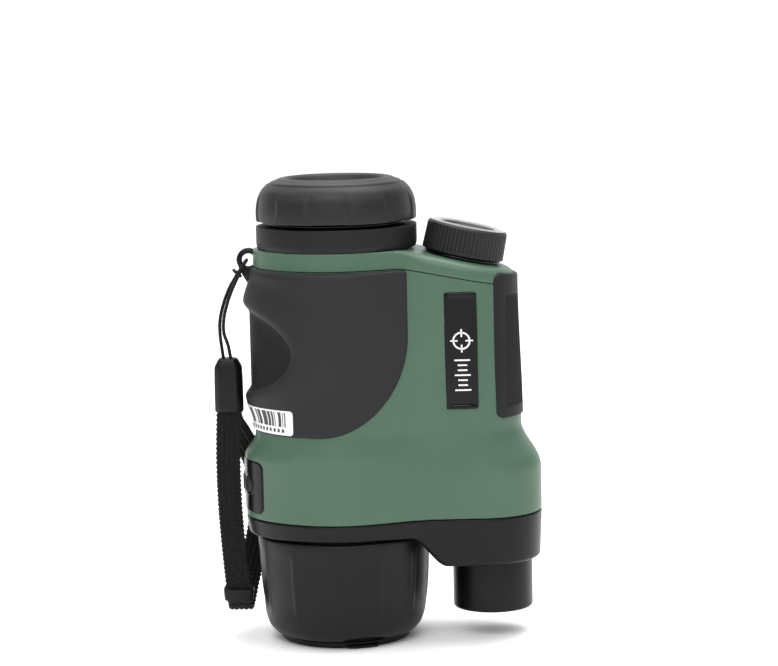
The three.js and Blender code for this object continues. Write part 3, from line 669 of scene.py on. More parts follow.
def cutter(r, low, high, about=(0, 0)):
    """A plain rod that carve() takes away again after it has cut its bore."""
    profile = [(0, low), (r, low), (r, high), (0, high)]
    return lathe("cutter", "instrument", profile, BLACK, about=about, steps=160)


def carve(obj, *tools):
    for tool in tools:
        step = obj.modifiers.new("carve", "BOOLEAN")
        step.operation = "DIFFERENCE"
        step.solver = "EXACT"
        step.object = tool
    settle(obj)
    for tool in tools:
        bpy.data.objects.remove(tool)
    soften(obj, 40)


def settle(obj):
    """Applies every modifier on the piece."""
    bpy.context.view_layer.update()
    ready = obj.evaluated_get(bpy.context.evaluated_depsgraph_get())
    made = bpy.data.meshes.new_from_object(ready)
    obj.modifiers.clear()
    obj.data = made


build_main_housing()
build_rear_cover()
build_front_housing()

# ---- overlays that follow the housing ------------------------------------------------------------


def row_shares(rows):
    """Rows' places from 0 to 1, crowded towards both ends."""
    return 0.375 * (1 - np.cos(np.linspace(0, math.pi, rows))) + 0.25 * np.linspace(0, 1, rows)


def overlay(name, angle, low, high, height, material, *nodes, rows=60, under=-0.5, smooth=50):
    """A closed panel on the housing. angle, low and high give its columns, height(x, y, s) is how far its
    face stands off the housing, and under is where its back lies."""
    low, high = (np.broadcast_to(edge, angle.shape)[:, None] for edge in (low, high))
    turn = np.repeat(angle[:, None], rows, 1)
    s = low + (high - low) * row_shares(rows)[None, :]
    x, y = outline(turn, s)
    face = skin(turn, s, -height(x, y, s))
    back = skin(turn, s, -under)
    strip = np.concatenate([face, back[:, ::-1]], 1)
    columns = strip.shape[1]
    faces = looped(len(angle), columns)
    for start, last in ((0, False), ((len(angle) - 1) * columns, True)):
        for j in range(rows - 1):
            quad = (start + j, start + j + 1, start + columns - 2 - j, start + columns - 1 - j)
            faces.append(quad[::-1] if last else quad)
    return piece(name, "instrument", strip.reshape(-1, 3), faces, material, *nodes, smooth=smooth)


def rolled(distance, radius):
    """The share of full height at a distance from an edge, for an edge rounded to that radius."""
    t = np.clip(distance / radius, 0, 1)
    return np.sqrt(np.maximum(1 - (1 - t) ** 2, 0))


GRIP_LOW = 61.4
GRIP_HIGH = REAR_SEAM - 0.15
GRIP_CURVE = (-6.0, 90.0, 25.7, 28.6)  # centre x and z, and half axes, of the lower edge's quarter ellipse
GRIP_EDGE_X = GRIP_CURVE[0] + GRIP_CURVE[2]
SCOOP_Z = 84.7
SCOOP_HALF = 12.2
SCOOP_TURN = 60 * DEG


def grip_low(x):
    t = np.clip((x - GRIP_CURVE[0]) / GRIP_CURVE[2], 0, 1)
    return GRIP_LOW + GRIP_CURVE[3] * (1 - np.sqrt(1 - t * t))


def grip_edge(x, s):
    """How far a point of the left grip is from the grip's front, lower and upper edges."""
    around_curve = np.hypot((x - GRIP_CURVE[0]) / GRIP_CURVE[2], (s - GRIP_CURVE[1]) / GRIP_CURVE[3])
    curve = (1 - around_curve) * (GRIP_CURVE[2] + GRIP_CURVE[3]) / 2
    straight = np.where(s > GRIP_CURVE[1], GRIP_EDGE_X - x, s - GRIP_LOW)
    corner = (x > GRIP_CURVE[0]) & (s < GRIP_CURVE[1])
    front = np.where(x > GRIP_CURVE[0], GRIP_EDGE_X - x, 99)
    side = np.where(corner, curve, np.minimum(straight, front))
    return np.maximum(np.minimum(side, GRIP_HIGH - s), 0)


def scoop(x, y, s):
    """The thumb scoop: a raised oval rim round a shallow hollow."""
    turn = np.arctan2(np.abs(y), -x)
    q = np.hypot(turn / SCOOP_TURN, (s - SCOOP_Z) / SCOOP_HALF)
    rim = smoothstep(q, 0.84, 1.12) * (1 - smoothstep(q, 1.12, 1.75))
    fade = np.cos(np.minimum(turn, math.pi / 2)) ** 2
    floor = 0.2 * (1 - smoothstep(q, 0.8, 1))
    dip = 0.95 * smoothstep(turn, 0.25, 0.8) * (1 - smoothstep(q, 0.6, 1.02))
    return floor - dip + 1.9 * rim * (0.35 + 0.65 * fade) * (fade > 0)


GRIP_PROUD = 0.75


def left_grip_height(x, y, s):
    edge = rolled(grip_edge(x, s), 0.7)
    return (GRIP_PROUD + scoop(x, y, s) * smoothstep(grip_edge(x, s), 0, 5) + 0.35) * edge - 0.35


def build_left_grip():
    bend = GRIP_CURVE[0] + GRIP_CURVE[2] * np.sin(np.linspace(math.pi / 2, 0, 46))
    front = front_angle(bend)
    side = np.linspace(front[-1], -math.pi, 60)[1:]
    half = np.concatenate([front, side])
    angle = np.concatenate([half, -half[::-1][1:] - 2 * math.pi])
    x = outline(angle, 84.0)[0]
    x = np.where(x > GRIP_CURVE[0], np.minimum(x, GRIP_EDGE_X), x)
    looks = (GRIP, SCOOP_RUBBER_AND_SHADE)
    grip = overlay("grip_left", angle, grip_low(x), GRIP_HIGH, left_grip_height, looks, "left_grip", rows=110)
    cut_round_scoop(grip.data)


def beyond_scoop(point):
    """Below zero inside the oval of the thumb scoop's rougher rubber, above zero outside it."""
    x, y, z = point / MM
    return math.hypot(math.atan2(abs(y), -x) / SCOOP_TURN, (z - SCOOP_Z) / SCOOP_HALF) - 0.97


def cut_round_scoop(mesh):
    """Cuts the mesh along the scoop's oval, and gives the faces inside it the second material: a coarser
    rubber whose darker colour is painted shade in the hollow.
    """
    with editing(mesh) as made:
        side = {vert: beyond_scoop(vert.co) for vert in made.verts}
        crossed = []
        for edge in list(made.edges):
            first, second = edge.verts
            if side[first] * side[second] < 0:
                share = side[first] / (side[first] - side[second])
                crossed.append(bmesh.utils.edge_split(edge, first, share)[1])
        bmesh.ops.connect_verts(made, verts=crossed)
        for face in made.faces:
            face.material_index = int(beyond_scoop(face.calc_center_median()) < 0)


STRIP_X = 44.0
STRIP_LOW = 64.8
STRIP_CORNER = 3.0
STRIP_HIGH = TOP - 1.2
RIB_PITCH = 1.15


def corner_distance(a, b, radius):
    """The distance to the nearer of two edges at a and b, with their corner rounded, or 0 outside them."""
    c, d = np.maximum(radius - a, 0), np.maximum(radius - b, 0)
    return np.maximum(np.where((c > 0) & (d > 0), radius - np.hypot(c, d), np.minimum(a, b)), 0)


def strip_height(x, y, s):
    """A raised pad with a sunk panel of upright ribs on each side of the column's end."""
    inward = corner_distance(x - STRIP_X, np.minimum(s - STRIP_LOW, STRIP_HIGH - s), STRIP_CORNER)
    edge = rolled(inward, 0.6)
    inset = smoothstep(inward, 2.6, 3.0) * smoothstep(s, 68.5, 69.2) * (1 - smoothstep(s, 105, 105.7))
    run = np.arctan2(y, x - 35.5) * 16.5
    ribs = 0.5 + 0.5 * np.cos(2 * math.pi * run / RIB_PITCH)
    buried = 0.35 + 0.5 * smoothstep(s, 107.5, 109.5)
    return (0.6 + buried) * edge - buried - inset * (0.3 - 0.28 * ribs ** 1.5)


def build_right_grip():
    half = -float(front_angle(STRIP_X))
    angle = np.linspace(-half, half, 260)
    overlay(
        "grip_right", angle, STRIP_LOW, STRIP_HIGH, strip_height, SATIN, "right_grip", rows=90, under=-1.0,
    )


def bounded(left, right, low, high, radius):
    """The distance to the edges of a rounded rectangle of x and height."""

    def distance(x, z):
        return corner_distance(np.minimum(x - left, right - x), np.minimum(z - low, high - z), radius)

    return distance


PLATE_LEFT, PLATE_RIGHT, PLATE_LOW, PLATE_HIGH = 30.0, 39.0, 68.0, 101.2


def build_nameplate():
    """A gloss plate with a bevelled frame, let into the column's front face."""
    edge = bounded(PLATE_LEFT, PLATE_RIGHT, PLATE_LOW, PLATE_HIGH, 0.8)

    def height(x, y, s):
        d = edge(x, lifted(x, s))
        return -0.06 + 0.52 * rolled(d, 0.4) - 0.2 * smoothstep(d, 0.75, 1.5)

    x = np.linspace(PLATE_LEFT + 0.02, PLATE_RIGHT - 0.02, 70)
    low, high = level_at(x, PLATE_LOW), level_at(x, PLATE_HIGH)
    overlay("name_plate", front_angle(x), low, high, height, PLATE_BLACK, "nameplate", rows=120, smooth=30)


def on_plate(path, lift):
    x, z = path.T
    return skin(front_angle(x), level_at(x, z), -lift)


def ribbon_on_plate(name, path, width, lift=0.31, closed=False):
    """A thin printed line on the nameplate along (x, z) points."""
    path = np.asarray(path, float)
    ahead = np.roll(path, -1, 0) - np.roll(path, 1, 0) if closed else np.gradient(path, axis=0)
    side = unit(np.stack([-ahead[:, 1], ahead[:, 0]], 1))
    left, right = path + side * width / 2, path - side * width / 2
    rails = [(left, lift), (right, lift), (right, lift - 0.3), (left, lift - 0.3)]
    points = np.stack([on_plate(rail, up) for rail, up in rails], 1).reshape(-1, 3)
    faces = looped(len(path), 4, wrap_rows=True) if closed else capped(len(path), 4)
    piece(name, "instrument", points, faces, MARK)


MARK_CENTRE = np.array([34.5, 87.5])


def build_mark():
    """A plain sighting mark: a ring with four ticks, and a short ruler below it."""
    turn = circle(64)
    ring_path = MARK_CENTRE + 2.3 * np.stack([np.cos(turn), np.sin(turn)], 1)
    ribbon_on_plate("mark_ring", ring_path, 0.45, closed=True)
    for i, turn in enumerate(circle(4)):
        way = np.array([math.cos(turn), math.sin(turn)])
        ribbon_on_plate(f"mark_tick_{i + 1}", MARK_CENTRE + np.outer(np.linspace(1.1, 3.3, 8), way), 0.4)
    for i, z in enumerate(np.linspace(82, 73.5, 7)):
        reach = 2.2 if i % 3 == 0 else 1.3
        line = [(MARK_CENTRE[0] + t, z) for t in np.linspace(-reach, reach, 8)]
        ribbon_on_plate(f"mark_bar_{i + 1}", line, 0.45)


build_left_grip()
build_right_grip()
build_nameplate()
build_mark()

# ---- label, control panel and buttons ------------------------------------------------------------

LABEL_LOW, LABEL_HIGH = 62.0, 69.0
LABEL_LIFT = 0.14


def build_label():
    """A white sticker with rounded corners: plain bars above a row of small blocks."""
    angle = math.pi + np.linspace(3, 37.5, 330) * DEG
    x, y = outline(angle, 66.0)
    run = np.concatenate([[0], np.cumsum(np.hypot(np.diff(x), np.diff(y)))])
    end = np.minimum(run, run[-1] - run)
    cut = np.where(end < 1, 1 - np.sqrt(np.maximum(1 - (1 - end) ** 2, 0)), 0)
    rows = 46

    def height(x, y, s):
        return left_grip_height(x, y, s) + LABEL_LIFT

    low, high = LABEL_LOW + cut, LABEL_HIGH - cut
    label = overlay("label", angle, low, high, height, (PRINT, INK), "serial_label", rows=rows, under=-0.1)
    share = row_shares(rows)
    level = LABEL_LOW + (LABEL_HIGH - LABEL_LOW) * (share[1:] + share[:-1]) / 2
    ink = rng.random(80) < 0.55
    columns = 2 * rows
    slots = np.zeros(len(label.data.polygons), int)
    for i in range(len(angle) - 1):
        inside = 1.2 < run[i] < run[-1] - 2.4
        bar = inside and ink[int(run[i] / 0.38) % len(ink)]
        block = inside and run[i] % 1.7 < 0.95
        upper, lower = level > LABEL_HIGH - 4.7, level < LABEL_LOW + 1.75
        printed = (bar & upper & (level < LABEL_HIGH - 0.5)) | (block & lower & (level > LABEL_LOW + 0.65))
        slots[i * columns : i * columns + rows - 1] = printed
    label.data.polygons.foreach_set("material_index", slots)


PANEL_LOW, PANEL_HIGH, PANEL_HALF = 38.2, 53.4, 22 * DEG
BUTTON_Z = 46.0
BUTTONS = (("power", -7.6, 2.1, 2.1), ("measure", 0.0, 3.6, 2.6), ("mode", 7.6, 2.1, 2.1))
LEFT_ANGLES = np.linspace(math.pi - 0.9, math.pi + 0.9, 400)
LEFT_Y = outline(LEFT_ANGLES, BUTTON_Z)[1]


def left_angle(y):
    """The direction of the pod's point over y, at the buttons' height."""
    return np.interp(-np.asarray(y, float), -LEFT_Y, LEFT_ANGLES)


def button_edge(y, s):
    """Distance outside the nearest button's oval, as a share of its size."""
    shares = [np.hypot((y - y0) / half_y, (s - BUTTON_Z) / half_z) for _, y0, half_y, half_z in BUTTONS]
    return np.minimum.reduce(shares)


def build_panel():
    """A rounded gloss plate, with a collar round each button's hole."""
    edge = bounded(-14.2, 14.2, PANEL_LOW, PANEL_HIGH, 2.2)

    def height(x, y, s):
        rim = rolled(edge(y, s), 0.5)
        collar = 0.22 * (1 - smoothstep(np.abs(button_edge(y, s) - 1.24), 0.06, 0.16))
        return 0.3 * rim - 0.3 * (1 - rim) + collar * rim

    angle = math.pi + np.linspace(-PANEL_HALF, PANEL_HALF, 150)
    looks = (PANEL, "control_panel")
    face = overlay("control_plate", angle, PANEL_LOW, PANEL_HIGH, height, *looks, rows=90, under=-1.2)
    carve(face, *[oval_cutter(y, half_y + 0.18, half_z + 0.18) for _, y, half_y, half_z in BUTTONS])


def oval_cutter(y, half_y, half_z):
    turn = circle(64)
    across, up = y + half_y * np.cos(turn), BUTTON_Z + half_z * np.sin(turn)
    points = np.concatenate([np.stack([np.full(64, x), across, up], 1) for x in (-34.0, -20.0)])
    return piece("cutter", "instrument", points, capped(2, 64), GLOSS)


def build_button(name, y0, half_y, half_z):
    """A soft key: a low dome with a dished middle, on a short stem."""
    turn = circle(72)[None, :]
    rim = np.sin(np.linspace(0.95, math.pi / 2, 10))
    share = np.concatenate([np.linspace(0.02, 0.8, 12), rim, [1.0, 1.0]])[:, None]
    lift = 0.35 + 0.55 * np.sqrt(np.maximum(1 - share**4, 0)) - 0.22 * (1 - smoothstep(share, 0.15, 0.7))
    lift[-1] = -0.95
    y = y0 + half_y * share * np.cos(turn)
    z = BUTTON_Z + half_z * share * np.sin(turn)
    face = skin(left_angle(y), z, -np.broadcast_to(lift, y.shape))
    back = skin(left_angle(y[:1]), z[:1], np.full(y[:1].shape, 1.0))
    points = np.concatenate([face, back]).reshape(-1, 3)
    faces = capped(len(share) + 1, 72)
    piece(f"key_{name}", f"{name}_key", points, faces, KEY, f"{name}_button", smooth=50)


build_label()
build_panel()
for name, y0, half_y, half_z in BUTTONS:
    build_button(name, y0, half_y, half_z)

# ---- objective, focus ring and cap ---------------------------------------------------------------

FLUTES = 12
FLUTE_TURN = -95 * DEG
TAB_TURN = -74 * DEG


def turn_gap(turn, start, pitch):
    """The angle from the nearest of evenly spaced directions."""
    return np.abs((turn - start + pitch / 2) % pitch - pitch / 2)


def fluted(r, z, turn):
    """Shallow panels between soft upright ridges, and a crescent notch above the cap's tab."""
    outer = smoothstep(r, 21.5, 22.4)
    gap = turn_gap(turn, FLUTE_TURN, 2 * math.pi / FLUTES)
    swell = 0.35 + 0.65 * np.cos(gap * FLUTES / 2 - math.pi / 2) ** 0.5
    panel = smoothstep(gap, 0.5 * DEG, 3.0 * DEG) * swell
    tall = smoothstep(z, 7, 14) * (1 - smoothstep(z, 24.5, 29.5))
    side = turn_gap(turn, TAB_TURN, 2 * math.pi) / (18 * DEG)
    notch = np.sqrt(np.maximum(1 - side**2, 0))
    low = 1 - smoothstep(z, 2.2 + 0.9 * notch, 2.6 + 1.1 * notch)
    cut = 1.2 * low * smoothstep(notch, 0.05, 0.5) * smoothstep(r, 19.4, 20)
    return r - 0.42 * panel * tall * outer - cut, z


def tabbed(r, z, turn):
    side = turn_gap(turn, TAB_TURN, 2 * math.pi)
    tab = 1 - smoothstep(side, 12.5 * DEG, 15.5 * DEG)
    low = (1 - smoothstep(z, 0.95, 1.1)) * smoothstep(r, 17.4, 18.4)
    return r + 1.1 * tab * low, z


def lens_profile(r, low, high, bulge, steps=14):
    share = np.linspace(0, 1, steps)
    under = [(r * t, low - bulge * (1 - t * t)) for t in share]
    over = [(r * t, high + bulge * (1 - t * t)) for t in share[::-1]]
    return under + over


def threaded(r, low, high, pitch, depth):
    """The corners of a run of fine rings, as in a blackened lens cell."""
    count = int((high - low) / pitch)
    steps = np.linspace(low, high, 2 * count + 1)
    return [(r + (depth if i % 2 else 0), z) for i, z in enumerate(steps)]


def round_section(r, z, half_r, half_z):
    return [(r + half_r * math.cos(t), z + half_z * math.sin(t)) for t in circle(12)]


FOCUS_OUTSIDE = rounded(
    [
        (19.0, 2.1, 0.15), (20.3, 2.3, 0.4), (22.0, 4.0, 1.2), (23.1, 7.0, 2), (24.3, 15.5, 6),
        (24.75, 26, 4), (24.8, 30.85, 0.6), (21.25, 30.85, 0.15),
    ],
    1,
)
lathe(
    "focus_ring", "focus_ring", dense(FOCUS_OUTSIDE, 0.45) + [(21.2, 6.6), (19.2, 6.5), (19.0, 6.2)],
    RING, "objective_focus_ring", shape=fluted, steps=360,
)
CAP_PROFILE = [
    (0, 0), (14.4, 0.0), (14.6, 0.25), (15.0, 0.25), (15.2, 0.0), (17.6, 0), (18.15, 0.12), (18.45, 0.4),
    (18.5, 0.7), (18.5, 1.0), (18.5, 1.2), (18.5, 1.6), (18.2, 1.9), (18.0, 5.0), (17.7, 5.4), (17.2, 5.4),
    (16.9, 5.1), (16.9, 1.8), (16.6, 1.5), (0, 1.5),
]
lathe("cap_disc", "cap", CAP_PROFILE, BLACK, "objective_cap", shape=tabbed, steps=240)
lathe("front_lens", "objective_group", lens_profile(16.5, 12.6, 16.6, 1.2), LENS, "objective_front_lens")
lathe(
    "lens_cell", "objective_group",
    rounded(
        [
            (16.9, 8.6), (19.3, 8.6), (19.3, 26), (11.5, 26), (11.5, 24.6), (13.5, 24.6), (13.5, 18.6),
            (16.9, 18.6),
        ]
    ),
    ANODISED, "objective_cell",
)
lathe(
    "lens_retainer", "objective_group",
    [(14.6, 11.2), (15.0, 9.2), (15.4, 9.0), (16.4, 9.0), (16.6, 9.3), (16.6, 11.2)],
    ANODISED, "objective_retainer",
)

# ---- emitter -------------------------------------------------------------------------------------

tube = rounded(
    [
        (9.3, 7.7, 0.4), (11.5, 7.7, 1.6), (11.5, 22.3, 0.2), (10.2, 22.3), (10.2, 27.4), (8.2, 27.4),
        (8.2, 18.2),
    ],
    0.2, 6,
)
tube += threaded(9.3, 18.0, 8.4, -0.6, 0.16)
lathe("emitter_hood", "instrument", tube, BLACK, "emitter_tube", about=EMITTER, steps=160)
lathe("emitter_glass", "instrument", lens_profile(9, 15, 17.2, 0.6), LENS, "emitter_lens", about=EMITTER)

# ---- eyepiece ------------------------------------------------------------------------------------

lathe(
    "eyepiece_body", "instrument",
    rounded(
        [
            (16.4, 108.5), (19, 108.5), (19, 113.5), (22.6, 113.35, 0.2), (23, 114.6, 0.6),
            (23, 119.8, 0.25), (18.5, 119.8, 0.1), (18.5, 126, 0.4), (16.4, 126, 0.2),
        ]
    ),
    SATIN, "eyepiece_barrel", steps=200,
)
seal = round_section(19.25, 120.5, 0.48, 0.5)
lathe("eyepiece_ring_seal", "instrument", seal, SEAL, "eyepiece_seal", steps=200)
DENTS = 6


def dented(r, z, turn):
    """Wide shield-shaped finger dents round the ring's side."""
    gap = turn_gap(turn, -94 * DEG, 2 * math.pi / DENTS)
    tall = np.sqrt(np.maximum(1 - ((z - 125.6) / 5.0) ** 2, 0))
    side = gap / (18.5 * DEG * (0.55 + 0.45 * tall) + 1e-6)
    dent = (1 - smoothstep(side, 0.86, 1.0)) * smoothstep(tall, 0.05, 0.5) * smoothstep(r, 19.4, 20.2)
    return r - 0.45 * dent * (1 - smoothstep(z, 126, 130.5)), z


DIOPTER_OUTSIDE = rounded(
    [
        (19.0, 121.2, 0), (22.9, 121.2, 0.5), (23.0, 124.2, 1.5), (22.5, 127.6, 3), (21.2, 130.2, 3),
        (19.55, 131.75, 0.3),
    ],
    0.5, 7,
)
EYECUP = [
    (18.5, 126.5, 0.1), (18.5, 130.4, 0.1), (19.15, 131.5, 0.25), (18.6, 132.3, 0.8), (17.2, 132.75, 1.0),
    (16.4, 133.15, 0.5), (15.2, 133.45, 0.8), (13.9, 133.1, 1.2), (12.8, 131.3, 1.6), (11.6, 129.3, 0.5),
    (11.5, 126.5, 0.2),
]
# The diopter ring's lighter rubber is a painted highlight.
lathe(
    "diopter_grip", "eyepiece_ring", dense(DIOPTER_OUTSIDE, 0.35) + [(19.2, 131.6), (19.1, 130.3)],
    LIT_BLACK_RUBBER, "diopter_ring", shape=dented, steps=300,
)
lathe("eyecup_rubber", "eyepiece_ring", rounded(EYECUP, 0.3, 6), LIT_BLACK_RUBBER, "eyecup", steps=200)
lathe("ocular_glass", "ocular_group", lens_profile(14, 119, 121.6, 1), LENS, "ocular_lens")
lathe(
    "ocular_tube", "ocular_group",
    rounded(
        [
            (14.3, 111.5), (16, 111.5), (16, 125.2), (14.3, 125.2), (14.3, 117.6), (12.6, 117.6),
            (12.6, 116.2), (14.3, 116.2),
        ]
    ),
    ANODISED, "ocular_cell",
)
lathe(
    "ocular_clamp", "ocular_group",
    [(12.4, 123.2), (12.8, 124.6), (13.2, 124.8), (13.8, 124.8), (14.0, 124.6), (14.0, 123.0)],
    ANODISED, "ocular_retainer",
)

# ---- battery cap, on its tilted axis -------------------------------------------------------------

KNURLS = 60


def knurled(r, z, turn):
    side = smoothstep(r, 10.9, 11.2) * smoothstep(z, 1.5, 2.0) * (1 - smoothstep(z, 8.5, 8.8))
    wave = np.abs(np.cos(turn * KNURLS / 2)) ** 0.8
    flare = 0.3 * (1 - z / 9.4) * smoothstep(r, 10.9, 11.2)
    return r + flare - 0.26 * side * (1 - wave), z


CAP_SIDE = rounded([(10.35, 1.15, 0.1), (11.5, 1.15, 0.4), (11.5, 8.8, 0.3), (10.95, 9.4, 0.1)], 0.2, 5)
CAP_TOP = [
    (10.4, 9.4), (9.75, 9.4), (9.7, 8.7), (8.1, 8.7), (8.05, 9.3), (7.8, 9.4), (7.4, 9.3), (7.0, 8.9),
    (0.01, 8.9),
]
CAP_INSIDE = [(0.01, 6.95), (10.2, 6.95), (10.35, 6.8)]
# The polished chamfer round the cap's top, dished towards the middle.
TRIM = [
    (7.75, 9.0), (7.85, 9.25), (8.6, 9.6), (9.4, 9.78), (9.8, 9.75), (10.75, 9.44), (10.7, 9.42), (9.7, 9.42),
    (9.65, 8.8),
]
NECK = [(0.01, -37), (10, -37), (10, -0.6), (10, 0.4), *threaded(10, 0.4, 5.6, 0.9, -0.3)]
NECK += [(9.7, 6.2), (8.9, 6.2), (8.9, -35.4), (0.01, -35.4)]
cap_profile = dense(CAP_SIDE, 0.35) + CAP_TOP + CAP_INSIDE
# The cap body's lighter rubber paints in the highlights on its knurled ribs.
tilt(lathe("cap_body", "cap_screw", cap_profile, LIT_BLACK_RUBBER, "battery_cap", shape=knurled, steps=480))
tilt(lathe("cap_trim", "cap_screw", TRIM, POLISHED, "cap_trim_ring", steps=200))
seal = round_section(10.65, 0.62, 0.33, 0.33)
tilt(lathe("neck_seal", "cap_carrier", seal, SEAL, "battery_cap_oring", steps=160))
tilt(lathe("battery_neck", "instrument", NECK, BLACK, "battery_tube", steps=120))

# ---- strap lug -----------------------------------------------------------------------------------

LUG_CENTRE = np.array([-25.4, 110.1])
LUG_ROOT = np.array([-24.4, 102.8])
LUG_R = 3.4
LUG_HOLE_R = 1.85


def build_lug():
    """A rounded eye on the housing's left shoulder, run out into the wall below it."""
    steps = 72
    turn = circle(steps)
    way = np.stack([np.cos(turn), np.sin(turn)], 1)
    pull = smoothstep(-way[:, 1:], 0.1, 0.95)
    outer = (LUG_CENTRE + LUG_R * way) * (1 - pull) + (LUG_ROOT + way * (1.6, 0)) * pull
    hole = LUG_CENTRE + LUG_HOLE_R * way
    section = [(outer, 0.0, -0.75), (outer, 0.22, -0.95), (outer, 0.55, -1.12), (outer, 0.95, -1.2)]
    section += [(hole, -0.45, -1.2), (hole, -0.2, -1.12), (hole, -0.03, -0.9), (hole, 0.0, -0.6)]
    loops = []
    for line, inset, y in section:
        flat = line + unit(LUG_CENTRE - line) * inset
        loops.append(np.stack([flat[:, 0], np.full(steps, y), flat[:, 1]], 1))
    loops += [points * np.array([1, -1, 1]) for points in loops[::-1]]
    piece("lug", "instrument", *stack(loops), BLACK, "strap_lug", smooth=50)


build_lug()

# ---- wrist strap: thin cord, ferrule, webbing and keeper -----------------------------------------


def smooth_route(points, step=0.5):
    """A spline through the points, sampled at about that step, with its unit directions."""
    points = np.asarray(points, float)
    points = np.concatenate([[2 * points[0] - points[1]], points, [2 * points[-1] - points[-2]]])
    out = []
    for a, b, c, d in zip(points[:-3], points[1:-2], points[2:-1], points[3:]):
        count = max(2, int(round(np.linalg.norm(c - b) / step)))
        t = np.linspace(0, 1, count, endpoint=False)[:, None]
        square, cube = 2 * a - 5 * b + 4 * c - d, 3 * b - a - 3 * c + d
        out.append(0.5 * (2 * b + (c - a) * t + square * t**2 + cube * t**3))
    out.append(points[-2:-1])
    line = np.concatenate(out)
    return line, unit(np.gradient(line, axis=0))


def line_length(line):
    return float(np.linalg.norm(np.diff(line, axis=0), axis=1).sum())


def tube_along(name, line, ahead, section, material, *nodes, facing=None):
    """A tube along a line; section(run) gives its outline's two coordinates, and u, at a distance along."""
    if facing is None:
        side = np.zeros_like(line)
        side[0] = np.cross(ahead[0], [0, 1, 0])
        side[0] /= np.linalg.norm(side[0])
        for i in range(1, len(line)):
            side[i] = side[i - 1] - ahead[i] * np.dot(side[i - 1], ahead[i])
            side[i] /= np.linalg.norm(side[i])
    else:
        side = unit(np.array(facing) - ahead * (ahead @ np.array(facing))[:, None])
    other = np.cross(ahead, side)
    run = np.concatenate([[0], np.cumsum(np.linalg.norm(np.diff(line, axis=0), axis=1))])
    points, uv = [], []
    for i in range(len(line)):
        a, b, across = section(run[i])
        points.append(line[i] + a[:, None] * side[i] + b[:, None] * other[i])
        uv.append(np.stack([across, np.full(len(a), run[i])], 1))
    faces = capped(len(points), len(points[0]))
    points, uv = np.concatenate(points), np.concatenate(uv)
    return piece(name, "instrument", points, faces, material, *nodes, smooth=60, uv=uv)


CORD_R = 0.5
CORD_ROUTE = [
    (-31.2, -0.7, 81.4), (-31.9, -0.8, 85.6), (-33, -0.8, 89.2), (-32.9, -0.8, 93.2), (-31.9, -0.9, 97.3),
    (-30.4, -1.3, 101.4), (-28.7, -2, 105), (-27.2, -2.4, 108), (-26.2, -1.9, 109.6), (-25.9, 0, 110),
    (-26.4, 2, 109.4), (-27.6, 2.3, 107.6), (-29.2, 1.7, 105.2), (-31.3, 1, 101.6), (-33, 0.8, 97.3),
    (-34.1, 0.7, 92.7), (-34.2, 0.7, 88.6), (-33.8, 0.7, 84.6), (-33.4, 0.6, 81.4),
]
TURN_16 = circle(16)


def braid(run):
    """Eight plaited strands show as low lobes that wind along the cord."""
    wind = 2 * math.pi * run / 2.6
    r = CORD_R * (0.95 + 0.05 * np.cos(4 * TURN_16 + wind) * np.cos(4 * TURN_16 - wind))
    return r * np.cos(TURN_16), r * np.sin(TURN_16), TURN_16 / (2 * math.pi) * 1.57 * 2


def build_hitch():
    """The turn of the same cord that draws both strands together under the lug."""
    along = np.array([-0.55, 0, -0.835])
    side = np.array([0.835, 0, -0.55])
    turn = circle(72)
    middle = np.array([-28.75, -0.1, 106.3])
    line = middle + np.outer(1.2 * np.cos(turn), side) + np.outer(2.75 * np.sin(turn), [0, 1, 0])
    line += np.outer(0.35 * np.sin(turn + 0.6), along)
    ahead = unit(np.roll(line, -1, 0) - np.roll(line, 1, 0))
    out = line - middle
    out = unit(out - ahead * (out * ahead).sum(1)[:, None])
    other = np.cross(ahead, out)
    r = CORD_R * 0.98
    points = [line + r * math.cos(t) * out + r * math.sin(t) * other for t in TURN_16]
    uv = np.stack([np.tile(TURN_16 / 2, 72), np.repeat(turn * 2, 16)], 1)
    faces = looped(72, 16, wrap_rows=True)
    return piece("hitch", "instrument", np.stack(points, 1).reshape(-1, 3), faces, CORD, smooth=60, uv=uv)


FERRULE_X = -32.1
FERRULE_LOW, FERRULE_HIGH = 66.4, 81.9
FERRULE_HALF = (4.1, 3.075)
FERRULE_OUTLINE = np.array(
    [(1, 0.42), (0.62, 1), (-0.62, 1), (-1, 0.42), (-1, -0.42), (-0.62, -1), (0.62, -1), (1, -0.42)]
)


def build_ferrule():
    """The moulded sleeve that joins cord and webbing: a flat block with broad bevels and a tapered top."""
    low, high = FERRULE_LOW, FERRULE_HIGH
    rows = [
        (low + 0.9, 0.86, 0.7), (low + 0.25, 0.9, 0.75), (low, 0.95, 0.85), (low + 0.1, 0.985, 0.93),
        (low + 0.35, 1.0, 0.97), (low + 1.5, 1.0, 1.0), (low + 8, 0.995, 1.0), (high - 3.0, 0.97, 1.0),
        (high - 2.3, 0.93, 0.97), (high - 0.75, 0.74, 0.84), (high - 0.3, 0.66, 0.78),
        (high - 0.08, 0.58, 0.7), (high - 0.35, 0.3, 0.4),
    ]
    corners = FERRULE_OUTLINE
    section = []
    for here, before, after in zip(corners, np.roll(corners, 1, 0), np.roll(corners, -1, 0)):
        start, end = here + (before - here) * 0.14, here + (after - here) * 0.14
        section += arc(start, here, end, (0, 0.25, 0.5, 0.75, 1))
    section = np.array(section) * FERRULE_HALF
    loops = [np.column_stack([section * (wide, deep), np.full(len(section), z)]) for z, wide, deep in rows]
    points = np.concatenate(loops) + (FERRULE_X, 0, 0)
    faces = capped(len(rows), len(section))
    return piece("strap_ferrule", "instrument", points, faces, RING, "cord_ferrule", smooth=28)


